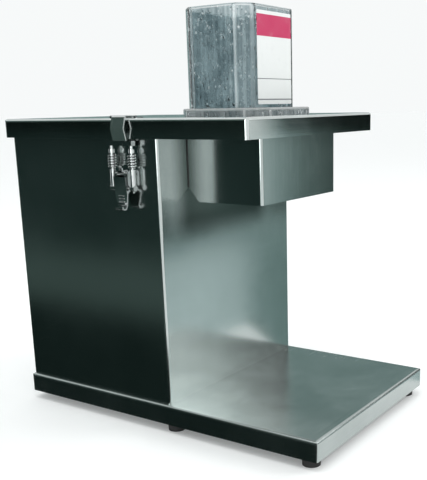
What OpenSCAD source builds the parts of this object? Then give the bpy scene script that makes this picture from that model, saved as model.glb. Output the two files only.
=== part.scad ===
// Bench vegetable dicer. A sheet-metal cabinet stands on a folded base tray and
// carries a hinged cover with a clear hopper. Under the cover a slicing disc turns
// over a grid of crossed knives, and the dice drop through a chute onto the base.
// Millimetres, +Z up, the chute faces -Y, origin on the floor under the middle.

/* [Base] */
// Width of the base tray
base_w = 261; // [255:1:300]
// Depth of the base tray
base_d = 411; // [380:1:460]
// Height of the base tray
base_h = 22; // [18:1:30]
// Sheet thickness of the base tray
base_t = 2; // [1.5:0.5:2.5]
// Outer radius of the bends in the base tray and the cover
bend_r = 3.5; // [3:0.5:5]
// Height of the tray's lower edge above the floor
foot_gap = 10; // [8:1:16]
// Radius of a rubber foot
foot_r = 11; // [9:0.5:12]
// Distance of a visible foot's centre from the tray's side and front
foot_inset = 15; // [15:0.5:22]
// Distance of a rear foot's centre from the tray's middle line
rear_foot_x = 80; // [60:1:95]
// Distance of the rear feet from the tray's back edge
rear_foot_y = 28; // [20:1:40]

/* [Cabinet] */
// Ledge of the base outside the cabinet's sides
base_ledge = 5; // [4:0.5:7]
// Height of the cabinet between the base and the cover's lower edge
cabinet_h = 289; // [280:1:320]
// Depth of the cabinet
cabinet_d = 221; // [215:1:240]
// Sheet thickness of the cabinet
cabinet_t = 1.5; // [1:0.5:2]
// Outer radius of the cabinet's upright bends
cabinet_r = 3; // [2.5:0.5:4]
// Width of the cabinet's inward flanges
flange_w = 14; // [12:1:18]
// Width of the service window in the rear wall
window_w = 170; // [140:1:190]
// Distance of the window's upper edge below the cover
window_drop = 51; // [45:1:70]
// Height of the window's lower edge above the base
window_z = 62; // [55:1:75]
// Overlap of the rear panel round the window
panel_lap = 12; // [10:1:14]
// Thickness of the rear panel
panel_t = 1.2; // [1:0.1:2]

/* [Cover] */
// Height of the cover pan
cover_h = 21; // [20:0.5:26]
// Depth of the cover pan
cover_d = 344; // [335:1:360]
// Overhang of the cover at the cabinet's sides and back
cover_overhang = 6; // [6:0.5:8]
// Sheet thickness of the cover
cover_t = 1.5; // [1:0.5:2]
// Thickness of the deck plate
deck_t = 2; // [1.5:0.5:3]
// Gap between the deck's rim and the inside of the cover
deck_gap = 3; // [3:0.5:6]
// Height of the deck's upturned rim
deck_rim = 9; // [6:1:12]

/* [Hopper] */
// Width of the hopper tube
hopper_w = 106; // [90:1:116]
// Depth of the hopper tube
hopper_d = 90; // [70:1:92]
// Corner cut of the hopper's octagon
hopper_cut = 15; // [12:1:22]
// Radius of the hopper's bends
hopper_r = 10; // [6:0.5:12]
// Wall of the hopper tube
hopper_t = 4.5; // [3:0.5:5.5]
// Height of the hopper tube above the cover
hopper_h = 113; // [90:1:140]
// Distance of the hopper's middle in front of the cabinet's front wall
hopper_ahead = 19; // [15:1:26]
// Thickness of the hopper's flange
collar_t = 8; // [6:0.5:10]
// Margin of the flange at the tube's sides
collar_side = 7; // [6.5:0.5:14]
// Margin of the flange in front of the tube
collar_front = 20; // [9:0.5:24]
// Margin of the flange behind the tube
collar_rear = 7; // [6.5:0.5:12]
// Corner cut of the flange's octagon
collar_cut = 20; // [14:1:26]

/* [Chute] */
// Width of the chute
chute_w = 154; // [146:1:170]
// Depth of the chute in front of the cabinet
chute_d = 96; // [90:1:104]
// Height of the chute below the deck
chute_h = 69; // [55:1:80]
// Sheet thickness of the chute
chute_t = 1.5; // [1:0.5:2]
// Length of the corner cut at the chute's lower rear corners
chute_cut_y = 13.5; // [8:0.5:20]
// Height of that corner cut
chute_cut_z = 15.5; // [8:0.5:20]

/* [Cutting set] */
// Distance of the spindle behind the cabinet's front wall
spindle_back = 59; // [57:0.5:62]
// Gap between the slicing disc's edge and the ring round it
ring_gap = 3; // [2:0.5:8]
// Thickness of the slicing disc
disc_t = 3; // [2.5:0.5:4]
// Gap between the slicing disc and the grid under it
disc_gap = 0.8; // [0.6:0.1:1]
// Clear height between the disc and the blade, which is the slice
slice_t = 8; // [6:0.5:8.5]
// Thickness of the blade
blade_t = 2; // [1.5:0.5:2]
// Width of the blade
blade_w = 26; // [20:1:30]
// Distance between neighbouring grid knives, which is the dice size
dice = 12; // [10:1:16]
// Thickness of a grid knife
knife_t = 1; // [0.8:0.1:1.5]
// Height of a grid knife
knife_h = 11; // [9:0.5:12]
// Knives that run front to back
knives_along = 7; // [5:1:7]
// Knives that run side to side
knives_across = 3; // [2:1:3]
// Width of the grid frame's bars
grid_bar = 5; // [4:0.5:6]

/* [Drive] */
// Radius of the spindle in its bearings
spindle_r = 10; // [9:0.5:11]
// Outer radius of a bearing
bearing_r = 21; // [20:0.5:22]
// Width of a bearing
bearing_w = 12; // [10:1:14]
// Length of the bearing housing below the deck
housing_l = 66; // [60:1:70]
// Outer radius of the housing's sleeve
housing_r = 27; // [26:0.5:30]
// Turns of the motor for one turn of the disc
drive_ratio = 1.68; // [1.5:0.01:1.8]
// Height of a pulley
pulley_h = 18; // [16:1:20]
// Distance of the motor shaft from the cabinet's back
motor_back = 68; // [66:1:72]
// Radius of the motor's frame without fins
motor_r = 46; // [42:1:47]
// Clear height between the motor and the drive pulley
motor_gap = 34; // [24:1:60]
// Radius of the motor shaft
motor_shaft_r = 7; // [6:0.5:8]

/* [Latch] */
// Distance of the latch behind the cabinet's front wall
latch_back = 43; // [36:1:60]
// Distance between the middles of the two springs
spring_gap = 28; // [27:0.5:32]
// Length of a spring
spring_l = 16; // [12:1:20]
// Outer radius of a spring
spring_r = 4.75; // [3.5:0.25:5]
// Coils of a spring
spring_coils = 5; // [4:1:7]
// Height of the lever's pivot below the cover's edge
lever_drop = 37; // [36:0.5:44]
// Distance from the lever's pivot to the hook's pivot
toggle_arm = 14; // [12:0.5:15]
// Length of the lever below its pivot
lever_l = 37; // [34:1:45]
// Width of the hook's plate
hook_w = 18; // [14:1:24]

/* [Hinges and fittings] */
// Distance of a hinge's middle from the machine's middle line
hinge_x = 75; // [60:1:85]
// Width of a hinge
hinge_w = 50; // [40:5:60]
// Radius of a hinge knuckle
knuckle_r = 3; // [2.5:0.25:3.5]
// Radius of a hinge pin
hinge_pin_r = 1.5; // [1.2:0.1:1.8]
// Reach of the cable gland behind the cabinet
gland_reach = 18; // [14:1:24]
// Bore of the cable gland
gland_bore = 8; // [6:0.5:10]
// Width of the on/off switch's bezel
switch_w = 26; // [22:1:30]
// Height of the on/off switch's bezel
switch_h = 34; // [30:1:40]
// Tilt of the rocker to each side
rocker_tilt = 9; // [6:0.5:10]

/* [Hidden] */
$fn = 64;
// Allowance by which a cut passes a face
cut = 1;
// Radial clearance of a running fit
run_fit = 0.05;
// Radial clearance of a bolt in its hole
bolt_fit = 0.15;
// Gap between pieces that pass each other
free_gap = 0.4;

total_d = base_d + gland_reach;
base_front_y = -total_d / 2;
cab_back_y = base_front_y + base_d;
cab_front_y = cab_back_y - cabinet_d;
cover_back_y = cab_back_y + cover_overhang;
cover_mid_y = cover_back_y - cover_d / 2;
base_mid_y = base_front_y + base_d / 2;
cab_mid_y = cab_back_y - cabinet_d / 2;

base_top = foot_gap + base_h;
cover_z = base_top + cabinet_h;
cover_top = cover_z + cover_h;
deck_top = cover_z + deck_t;
cabinet_w = base_w - 2 * base_ledge;
cover_w = cabinet_w + 2 * cover_overhang;

// Feet: front pair, pair under the cabinet's front, rear pair
foot_spots = [
  for (s = [-1, 1]) each [
    [s * (base_w / 2 - foot_inset), base_front_y + foot_inset],
    [s * (base_w / 2 - foot_inset), cab_front_y],
    [s * rear_foot_x, cab_back_y - rear_foot_y]
  ]
];
foot_top = base_top - base_t;
boss_r = 6;
boss_l = 7;
foot_bolt_r = 2.5;
foot_head_r = 4.5;
foot_head_h = 3;
foot_recess = 3;
foot_taper = 1.5;

// Screws and bolts share these shapes
m4_r = 2;
m4_head_r = 3.6;
m4_head_h = 2.4;
m6_r = 3;
m6_head_r = 5.6;
m6_head_h = 4;
bolt_tail = 4;

// Cabinet bolts hold the lower flange to the tray
cab_bolt_x = cabinet_w / 2 - cabinet_t - flange_w / 2;
cab_bolt_end = 45;
cab_bolt_ys = [cab_front_y + cab_bolt_end, cab_mid_y, cab_back_y - cab_bolt_end];
// Deck bolts stay behind the chamber ring
spindle_y = cab_front_y + spindle_back;
ring_t = 1.5;
ring_r = cover_w / 2 - cover_t - deck_gap - deck_t - free_gap;
deck_bolt_end = 25;
deck_bolt_reach = ring_r + m6_head_r + ring_gap;
deck_bolt_ys = [
  spindle_y + sqrt(deck_bolt_reach * deck_bolt_reach - cab_bolt_x * cab_bolt_x),
  cab_back_y - deck_bolt_end
];

// Rear wall between the cabinet's upright seams
window_h = cabinet_h - window_z - window_drop;
seam_in = 5;
seam_x = cabinet_w / 2 - cabinet_r - seam_in;

// Cutting set
disc_r = ring_r - ring_t - ring_gap;
grid_w = (knives_along + 1) * dice;
grid_d = (knives_across + 1) * dice;
grid_mid_y = cab_front_y - grid_bar - cut - grid_d / 2;
lip_t = 1.5;
lip_w = 4;
grid_top = deck_top;
knife_seat = 2;
lap_gap = 0.1;
disc_z = grid_top + disc_gap;
disc_top = disc_z + disc_t;
blade_z = disc_top + slice_t;
hub_r = 20;
hub_h = 3;
post_r = 5;
post_in = 36;
post_rim = 8;
post_out = disc_r - post_rim;
slot_w = 22;
slot_end = 9;
slot_in = post_in + slot_end;
slot_out = post_out - slot_end;
ring_top = cover_top - cover_t - cut;
spigot_r = 8;
nut_grip = 4;
seat_r = 12;

// Housing and drive
housing_bottom = cover_z - housing_l;
housing_flange_r = 42;
housing_flange_t = 6;
housing_bolt_r = 35;
seal_t = 4;
shoulder_r = 17;
pulley_top = housing_bottom - cut;
pulley_z = pulley_top - pulley_h;
belt_w = 8;
belt_t = 6;
groove_flare = 2;
motor_y = cab_back_y - motor_back;
belt_centres = motor_y - spindle_y;
driven_r = belt_centres / 2;
drive_r = driven_r / drive_ratio;
motor_plate_t = 5;
motor_z = base_top + motor_plate_t;
motor_h = pulley_z - motor_gap - motor_z;
motor_bell_h = 20;
fin_count = 18;
fin_h = 4;
fin_t = 2;

// Hopper
hopper_y = cab_front_y - hopper_ahead;
hopper_top = cover_top + hopper_h;
collar_bend = 3;
hopper_screw_l = 5;
hopper_head_h = 1.6;
hopper_screw_spots = [
  [-hopper_w / 2 - collar_side / 2, -hopper_d / 5],
  [-hopper_w / 2 - collar_side / 2, hopper_d / 5],
  [hopper_w / 2 + collar_side / 2, -hopper_d / 5],
  [hopper_w / 2 + collar_side / 2, hopper_d / 5],
  [0, -hopper_d / 2 - collar_front / 2],
  [0, hopper_d / 2 + collar_rear / 2]
];

// Chute
chute_z = cover_z - chute_h;
chute_screw_end = 22;
chute_screw_ys = [cab_front_y - chute_screw_end, cab_front_y - chute_d + chute_screw_end];
chute_flange_w = 12;

// Latch, drawn with x as the distance out from the cabinet's side
latch_y = cab_front_y + latch_back;
latch_axis_out = 7;
lever_z = cover_z - lever_drop;
toggle_z = lever_z - toggle_arm;
latch_plate_t = 1.5;
latch_pin_r = 1.5;
ear_in = 5;
ear_t = 1.5;
cheek_in = ear_in + ear_t + free_gap;
cheek_t = 1.5;
lever_half = cheek_in + cheek_t;
rod_r = 1.5;
wire_r = 1;
yoke_h = 5;
yoke_drop = 2;
eye_r = 3;
yoke_z = cover_z - yoke_drop - yoke_h;
seat_gap = 0.5;
collar_h = 4;
spring_top = yoke_z - 2 * collar_h;
spring_z = spring_top - spring_l;
hook_t = 1.5;
hook_rise = 2.6;
hook_top = cover_top + hook_rise;
hook_bulge = 11;
lip_out = cover_overhang + free_gap;

// Hinges
hinge_drop = 5;
leaf_t = 2;
leaf_bite = 1;
hinge_out = cover_overhang + leaf_bite - knuckle_r;
hinge_axis_y = cab_back_y + hinge_out;
hinge_axis_z = cover_z - hinge_drop;
leaf_l = 18;
knuckles = 5;

// Switch and gland
switch_in = 50;
switch_drop = 85;
switch_y = cab_back_y - switch_in;
switch_z = cover_z - switch_drop;
bezel_t = 2;
rocker_gap = 0.5;
rocker_high = 11;
rocker_low = 9;
rocker_deep = 7.5;
switch_depth = 22;
gland_x = 70;
gland_up = 30;
gland_z = base_top + gland_up;
gland_r = 10;
gland_tip_r = 7.5;
gland_nut_r = 11.5;
gland_wall_hole = 8;

// Shared shapes

// Flat rectangle with round corners
module rounded_rect(w, d, r) {
  square([w - 2 * r, d], center = true);
  square([w, d - 2 * r], center = true);
  for (sx = [-1, 1], sy = [-1, 1])
    translate([sx * (w / 2 - r), sy * (d / 2 - r)]) circle(r);
}

// Upright section whose two upper corners are round
module arched_section(w, h, r) {
  translate([-w / 2, 0]) square([w, h - r]);
  translate([-w / 2 + r, 0]) square([w - 2 * r, h]);
  for (s = [-1, 1]) translate([s * (w / 2 - r), h - r]) circle(r);
}

// Block with round upright edges and round upper edges, as a folded pan has
module folded_block(w, d, h, r) {
  intersection() {
    linear_extrude(h) rounded_rect(w, d, r);
    rotate([90, 0, 0]) linear_extrude(d, center = true) arched_section(w, h, r);
    rotate([90, 0, 90]) linear_extrude(w, center = true) arched_section(d, h, r);
  }
}

// Pan that is open below
module folded_pan(w, d, h, t, r) {
  difference() {
    folded_block(w, d, h, r);
    translate([0, 0, -cut]) folded_block(w - 2 * t, d - 2 * t, h - t + cut, r - t);
  }
}

// Octagon with round corners, stretched over a circle in each corner
module round_octagon(w, d, corner, r) {
  a = w / 2 - r;
  b = d / 2 - r;
  c = corner - r * (2 - sqrt(2));
  hull() for (sx = [-1, 1], sy = [-1, 1], p = [[a, b - c], [a - c, b]])
    translate([sx * p.x, sy * p.y]) circle(r, $fn = 32);
}

// Bolt that points down, with its head's lower face at z = 0
module bolt(r, l, head_r, head_h) {
  translate([0, 0, -l]) cylinder(r = r, h = l + cut / 2);
  cylinder(r = head_r, h = head_h);
}

// Slot with round ends along x
module slot_shape(l, w) {
  square([l - w, w], center = true);
  for (s = [-1, 1]) translate([s * (l - w) / 2, 0]) circle(d = w);
}

// Draws a left-hand latch piece on the left or the right side
module on_side(side) {
  if (side == "left") children();
  else mirror([1, 0, 0]) children();
}

// Puts a section drawn as (distance out, height) on the cabinet's left side
module latch_section(half_w) {
  translate([-cabinet_w / 2, latch_y + half_w, 0])
    rotate([90, 0, 0]) linear_extrude(2 * half_w) mirror([1, 0]) children();
}

// Round bar across the latch
module latch_bar(out, z, r, half_l) {
  translate([-cabinet_w / 2 - out, latch_y - half_l, z]) rotate([-90, 0, 0]) cylinder(r = r, h = 2 * half_l);
}

// Base and feet

module base_tray() color("silver") {
  difference() {
    union() {
      translate([0, base_mid_y, foot_gap]) folded_pan(base_w, base_d, base_h, base_t, bend_r);
      for (p = foot_spots) translate([p.x, p.y, foot_top - boss_l]) cylinder(r = boss_r, h = boss_l);
    }
    for (p = foot_spots)
      translate([p.x, p.y, foot_top - boss_l - cut]) cylinder(r = foot_bolt_r + bolt_fit, h = boss_l);
    for (s = [-1, 1], y = cab_bolt_ys)
      translate([s * cab_bolt_x, y, foot_top - cut]) cylinder(r = m6_r + bolt_fit, h = base_t + 2 * cut);
    motor_bolt_spots() translate([0, 0, foot_top - cut]) cylinder(r = m6_r + bolt_fit, h = base_t + 2 * cut);
  }
}

module rubber_feet() color("#202020") {
  for (p = foot_spots) translate([p.x, p.y, 0]) difference() {
    cylinder(r1 = foot_r - foot_taper, r2 = foot_r, h = foot_top);
    translate([0, 0, foot_top - boss_l]) cylinder(r = boss_r + bolt_fit, h = boss_l + cut);
    translate([0, 0, -cut]) cylinder(r = foot_bolt_r + bolt_fit, h = foot_top);
    translate([0, 0, -cut]) cylinder(r = foot_head_r + bolt_fit, h = foot_recess + foot_head_h + cut);
  }
}

module foot_bolts() color("gainsboro") {
  for (p = foot_spots)
    translate([p.x, p.y, foot_recess + foot_head_h]) mirror([0, 0, 1])
      bolt(foot_bolt_r, foot_top - 2 * cut - foot_recess - foot_head_h, foot_head_r, foot_head_h);
}

// Cabinet

module cabinet_ring(h) {
  linear_extrude(h) difference() {
    rounded_rect(cabinet_w, cabinet_d, cabinet_r);
    rounded_rect(cabinet_w - 2 * cabinet_t, cabinet_d - 2 * cabinet_t, cabinet_r - cabinet_t);
  }
}

module cabinet_flange() {
  linear_extrude(cabinet_t) difference() {
    rounded_rect(cabinet_w - cabinet_t, cabinet_d - cabinet_t, cabinet_r - cabinet_t / 2);
    square([cabinet_w - 2 * (cabinet_t + flange_w), cabinet_d - 2 * (cabinet_t + flange_w)], center = true);
  }
}

// Room of the rear sheet, which stands between the returns of the wrapper's sides
module rear_sheet_room(gap) {
  translate([-seam_x - gap, cab_back_y - cabinet_t - flange_w - gap, base_top - cut])
    cube([2 * (seam_x + gap), cabinet_t + flange_w + gap + cut, cabinet_h + 2 * cut]);
}

module cabinet_shell() color("silver") {
  difference() {
    cabinet_box();
    rear_sheet_room(lap_gap);
  }
}

module cabinet_back() color("silver") {
  intersection() {
    cabinet_box();
    rear_sheet_room(0);
  }
}

// Both sheets of the cabinet with their holes
module cabinet_box() {
  difference() {
    translate([0, cab_mid_y, base_top]) {
      cabinet_ring(cabinet_h);
      cabinet_flange();
      translate([0, 0, cabinet_h - cabinet_t]) cabinet_flange();
    }
    translate([-window_w / 2, cab_back_y - cabinet_t - cut, base_top + window_z])
      cube([window_w, cabinet_t + 2 * cut, window_h]);
    for (p = panel_screw_spots()) translate([p.x, cab_back_y + cut, p.y])
      rotate([90, 0, 0]) cylinder(r = m4_r + bolt_fit, h = cabinet_t + 2 * cut);
    for (s = [-1, 1]) {
      for (y = cab_bolt_ys) translate([s * cab_bolt_x, y, base_top - cut])
        cylinder(r = m6_r + bolt_fit, h = cabinet_t + 2 * cut);
      for (y = deck_bolt_ys) translate([s * cab_bolt_x, y, cover_z - cabinet_t - cut])
        cylinder(r = m6_r + bolt_fit, h = cabinet_t + 2 * cut);
    }
    translate([gland_x, cab_back_y + cut, gland_z]) rotate([90, 0, 0])
      cylinder(r = gland_wall_hole + bolt_fit, h = cabinet_t + 2 * cut);
    translate([cabinet_w / 2, switch_y, switch_z])
      cube([2 * (cabinet_t + cut), switch_w - 2 * bezel_t, switch_h - 2 * bezel_t], center = true);
  }
}

module cabinet_bolts() color("gainsboro") {
  for (s = [-1, 1], y = cab_bolt_ys)
    translate([s * cab_bolt_x, y, base_top + cabinet_t])
      bolt(m6_r, base_t + cabinet_t + bolt_tail, m6_head_r, m6_head_h);
}

function panel_screw_spots() = [
  for (s = [-1, 1], k = [0 : 2])
    [s * (window_w / 2 + panel_lap / 2), base_top + window_z + k * window_h / 2]
];

module rear_panel() color("silver") {
  louvre_l = 50;
  louvre_w = 5;
  louvre_pitch = 14;
  louvre_rows = 7;
  difference() {
    translate([0, cab_back_y + panel_t, base_top + window_z + window_h / 2]) rotate([90, 0, 0])
      linear_extrude(panel_t) difference() {
        rounded_rect(window_w + 2 * panel_lap, window_h + 2 * panel_lap, cabinet_r);
        for (s = [-1, 1], k = [1 : louvre_rows])
          translate([s * window_w / 4, (k - (louvre_rows + 1) / 2) * louvre_pitch])
            slot_shape(louvre_l, louvre_w);
      }
    for (p = panel_screw_spots()) translate([p.x, cab_back_y + panel_t + cut, p.y])
      rotate([90, 0, 0]) cylinder(r = m4_r + bolt_fit, h = panel_t + 2 * cut);
  }
}

module panel_screws() color("gainsboro") {
  for (p = panel_screw_spots()) translate([p.x, cab_back_y + panel_t, p.y])
    rotate([-90, 0, 0]) bolt(m4_r, panel_t + cabinet_t + bolt_tail, m4_head_r, m4_head_h);
}

// Deck and chute

module deck_plate() color("silver") {
  rim_w = cover_w - 2 * (cover_t + deck_gap);
  deck_front = cover_back_y - cover_d + cover_t + deck_gap;
  deck_d = cab_back_y - cut - deck_front;
  translate([0, deck_front + deck_d / 2, cover_z]) difference() {
    linear_extrude(deck_t + deck_rim) rounded_rect(rim_w, deck_d, cabinet_r);
    translate([0, 0, deck_t]) linear_extrude(deck_rim + cut) {
      rounded_rect(rim_w - 2 * deck_t, deck_d - 2 * deck_t, cabinet_r / 2);
      translate([-rim_w / 2 + deck_t, 0]) square([rim_w - 2 * deck_t, deck_d]);
    }
    translate([0, -deck_front - deck_d / 2, 0]) deck_cuts();
  }
}

module deck_cuts() {
  translate([0, spindle_y, -cut]) cylinder(r = seat_r + cut, h = deck_t + 2 * cut);
  translate([0, grid_mid_y, deck_t / 2]) cube([grid_w + 2 * grid_bar + 2 * free_gap,
    grid_d + 2 * grid_bar + 2 * free_gap, deck_t + 2 * cut], center = true);
  for (s = [-1, 1], y = deck_bolt_ys) translate([s * cab_bolt_x, y, -cut])
    cylinder(r = m6_r + bolt_fit, h = deck_t + 2 * cut);
  for (s = [-1, 1], y = chute_screw_ys) translate([s * chute_screw_x(), y, -cut])
    cylinder(r = m4_r + bolt_fit, h = deck_t + 2 * cut);
  housing_bolt_spots() translate([0, 0, -cut]) cylinder(r = m6_r + bolt_fit, h = deck_t + 2 * cut);
}

module deck_bolts() color("gainsboro") {
  for (s = [-1, 1], y = deck_bolt_ys)
    translate([s * cab_bolt_x, y, deck_top]) bolt(m6_r, deck_t + cabinet_t + bolt_tail, m6_head_r, m6_head_h);
}

module chamber_ring() color("silver") {
  translate([0, spindle_y, deck_top]) difference() {
    cylinder(r = ring_r, h = ring_top - deck_top);
    translate([0, 0, -cut]) cylinder(r = ring_r - ring_t, h = ring_top - deck_top + 2 * cut);
  }
}

function chute_screw_x() = chute_w / 2 - chute_t - chute_flange_w / 2;

module discharge_chute() color("silver") {
  wall_in = chute_w / 2 - chute_t;
  difference() {
    translate([0, cab_front_y, chute_z]) {
      linear_extrude(chute_h) difference() {
        union() {
          translate([0, -chute_d / 2]) rounded_rect(chute_w, chute_d, cabinet_r);
          translate([0, -chute_d / 4]) square([chute_w, chute_d / 2], center = true);
        }
        translate([0, -chute_d / 2 + chute_t])
          rounded_rect(2 * wall_in, chute_d, cabinet_r - chute_t);
        translate([-wall_in, -chute_d / 2]) square([2 * wall_in, chute_d]);
      }
      for (s = [-1, 1]) translate([s * (wall_in - chute_flange_w / 2), -chute_d / 2, chute_h - chute_t / 2])
        cube([chute_flange_w + chute_t, chute_d - 2 * cabinet_r, chute_t], center = true);
    }
    translate([0, cab_front_y, chute_z]) rotate([90, 0, 90]) linear_extrude(chute_w + 2 * cut, center = true)
      polygon([
        [cut, -cut], [-chute_cut_y - cut, -cut], [-chute_cut_y, 0], [0, chute_cut_z], [cut, chute_cut_z]
      ]);
    for (s = [-1, 1], y = chute_screw_ys) translate([s * chute_screw_x(), y, cover_z - chute_t - cut])
      cylinder(r = m4_r + bolt_fit, h = chute_t + 2 * cut);
  }
}

module chute_screws() color("gainsboro") {
  for (s = [-1, 1], y = chute_screw_ys) translate([s * chute_screw_x(), y, cover_z - chute_t])
    mirror([0, 0, 1]) bolt(m4_r, chute_t + deck_t, m4_head_r, m4_head_h);
}

// Cutting set

module grid_frame() color("gainsboro") {
  outer_w = grid_w + 2 * grid_bar;
  outer_d = grid_d + 2 * grid_bar;
  translate([0, grid_mid_y, 0]) difference() {
    union() {
      translate([-outer_w / 2, -outer_d / 2, grid_top - knife_h - grid_bar])
        cube([outer_w, outer_d, knife_h + grid_bar]);
      translate([-outer_w / 2 - lip_w, -outer_d / 2, cover_z - lip_t])
        cube([outer_w + 2 * lip_w, outer_d, lip_t]);
    }
    translate([-grid_w / 2, -grid_d / 2, grid_top - knife_h - grid_bar - cut])
      cube([grid_w, grid_d, knife_h + grid_bar + 2 * cut]);
    translate([-grid_w / 2 - knife_seat, -grid_d / 2 - knife_seat, grid_top - knife_h])
      cube([grid_w + 2 * knife_seat, grid_d + 2 * knife_seat, knife_h + cut]);
  }
}

// Knife standing along x with a sharp upper edge
module knife_blank(l) {
  edge_h = 2.5;
  rotate([90, 0, 90]) linear_extrude(l, center = true)
    polygon([
      [-knife_t / 2, -knife_h], [knife_t / 2, -knife_h], [knife_t / 2, -edge_h], [0, 0], [-knife_t / 2, -edge_h]
    ]);
}

// Row of half-lap slots cut from the knives' lower or upper half
module lap_slots(count, z) {
  for (k = [1 : count]) translate([(k - (count + 1) / 2) * dice, 0, z])
    cube([knife_t + 2 * lap_gap, 2 * knife_t, knife_h], center = true);
}

module grid_knives_along() color("gainsboro") {
  l = grid_d + 2 * knife_seat - 2 * lap_gap;
  for (k = [1 : knives_along])
    translate([(k - (knives_along + 1) / 2) * dice, grid_mid_y, grid_top]) rotate([0, 0, 90]) difference() {
      knife_blank(l);
      lap_slots(knives_across, lap_gap - knife_h);
    }
}

module grid_knives_across() color("gainsboro") {
  l = grid_w + 2 * knife_seat - 2 * lap_gap;
  for (k = [1 : knives_across])
    translate([0, grid_mid_y + (k - (knives_across + 1) / 2) * dice, grid_top]) difference() {
      knife_blank(l);
      lap_slots(knives_along, -lap_gap);
    }
}

module slicing_disc() color("gainsboro") {
  translate([0, spindle_y, disc_z]) difference() {
    union() {
      cylinder(r = disc_r, h = disc_t);
      cylinder(r = hub_r, h = disc_t + hub_h);
      for (d = [post_in, post_out]) translate([0, -d, 0]) cylinder(r = post_r, h = disc_t + slice_t);
    }
    translate([0, 0, -cut]) cylinder(r = spigot_r + run_fit, h = disc_t + hub_h + 2 * cut);
    translate([-slot_w / 2, -slot_out, -cut]) cube([slot_w, slot_out - slot_in, disc_t + 2 * cut]);
    for (d = [post_in, post_out]) translate([0, -d, disc_t])
      cylinder(r = m4_r + bolt_fit, h = slice_t + cut);
  }
}

module slicing_blade() color("gainsboro") {
  bevel = 7;
  blade_l = post_out - post_in + 2 * post_r;
  translate([0, spindle_y - (post_in + post_out) / 2, blade_z]) difference() {
    rotate([90, 0, 0]) linear_extrude(blade_l, center = true)
      polygon([[-blade_w / 2, 0], [blade_w / 2, 0], [blade_w / 2, blade_t], [bevel - blade_w / 2, blade_t]]);
    for (s = [-1, 1]) translate([0, s * (post_out - post_in) / 2, -cut])
      cylinder(r = m4_r + bolt_fit, h = blade_t + 2 * cut);
  }
}

module blade_screws() color("silver") {
  head_h = 1;
  for (d = [post_in, post_out]) translate([0, spindle_y - d, blade_z + blade_t])
    bolt(m4_r, blade_t + slice_t - cut, m4_head_r, head_h);
}

module disc_nut() color("silver") {
  washer_t = 1.5;
  washer_step = 2;
  nut_h = 4;
  nut_r = 12;
  translate([0, spindle_y, disc_top + hub_h]) difference() {
    union() {
      cylinder(r = hub_r - washer_step, h = washer_t);
      cylinder(r = nut_r, h = washer_t + nut_h, $fn = 6);
    }
    translate([0, 0, -cut]) cylinder(r = spigot_r + run_fit, h = washer_t + nut_h + 2 * cut);
  }
}

module spindle() color("lightgrey") {
  seat_z = cover_z + free_gap;
  translate([0, spindle_y, 0]) {
    translate([0, 0, pulley_z]) cylinder(r = spindle_r, h = seat_z - pulley_z + cut);
    translate([0, 0, seat_z]) cylinder(r = seat_r, h = disc_z - seat_z);
    translate([0, 0, disc_z - cut]) cylinder(r = spigot_r, h = disc_t + hub_h + nut_grip + cut);
  }
}

// Drive

// Vee pulley with a boss, its groove at mid height
module pulley(pitch_r, bore_r) {
  outer_r = pitch_r + belt_t / 2;
  floor_r = pitch_r - belt_t / 2 - free_gap;
  floor_half = belt_w / 2 + free_gap;
  mid = pulley_h / 2;
  rotate_extrude() polygon([
    [bore_r + run_fit, 0], [outer_r, 0], [outer_r, mid - floor_half - groove_flare],
    [floor_r, mid - floor_half], [floor_r, mid + floor_half], [outer_r, mid + floor_half + groove_flare],
    [outer_r, pulley_h], [bore_r + run_fit, pulley_h]
  ]);
}

module driven_pulley() color("dimgray") translate([0, spindle_y, pulley_z]) pulley(driven_r, spindle_r);

module drive_pulley() color("dimgray") translate([0, motor_y, pulley_z]) pulley(drive_r, motor_shaft_r);

// Outline of a belt loop that lies this far outside the pitch line
module belt_loop(out) {
  a = driven_r + out;
  b = drive_r + out;
  lean = acos((a - b) / belt_centres);
  near = [a * sin(lean), a * cos(lean)];
  far = [b * sin(lean), belt_centres + b * cos(lean)];
  circle(a);
  translate([0, belt_centres]) circle(b);
  polygon([near, far, [-far.x, far.y], [-near.x, near.y]]);
}

module drive_belt() color("#181818") {
  translate([0, spindle_y, pulley_z + (pulley_h - belt_w) / 2]) linear_extrude(belt_w) difference() {
    belt_loop(belt_t / 2);
    belt_loop(-belt_t / 2);
  }
}

module housing_bolt_spots() {
  for (k = [0 : 3]) translate([0, spindle_y, 0]) rotate([0, 0, 45 + 90 * k])
    translate([housing_bolt_r, 0, 0]) children();
}

module bearing_housing() color("gray") {
  difference() {
    translate([0, spindle_y, 0]) rotate_extrude() polygon([
      [shoulder_r, housing_bottom], [housing_r, housing_bottom], [housing_r, cover_z - housing_flange_t],
      [housing_flange_r, cover_z - housing_flange_t], [housing_flange_r, cover_z], [bearing_r, cover_z],
      [bearing_r, cover_z - seal_t - bearing_w], [shoulder_r, cover_z - seal_t - bearing_w],
      [shoulder_r, housing_bottom + bearing_w], [bearing_r, housing_bottom + bearing_w],
      [bearing_r, housing_bottom + cut], [shoulder_r, housing_bottom + cut]
    ]);
    housing_bolt_spots() translate([0, 0, cover_z - housing_flange_t - cut])
      cylinder(r = m6_r + bolt_fit, h = housing_flange_t + 2 * cut);
  }
}

module housing_bolts() color("gainsboro") {
  housing_bolt_spots() translate([0, 0, cover_z - housing_flange_t]) mirror([0, 0, 1])
    bolt(m6_r, housing_flange_t + deck_t, m6_head_r, m6_head_h);
}

module bearing_ring() {
  difference() {
    cylinder(r = bearing_r - run_fit, h = bearing_w - cut);
    translate([0, 0, -cut]) cylinder(r = spindle_r + run_fit, h = bearing_w + 2 * cut);
  }
}

module bearings() color("lightgrey") {
  translate([0, spindle_y, housing_bottom + cut]) bearing_ring();
  translate([0, spindle_y, cover_z - seal_t - bearing_w]) bearing_ring();
}

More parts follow.
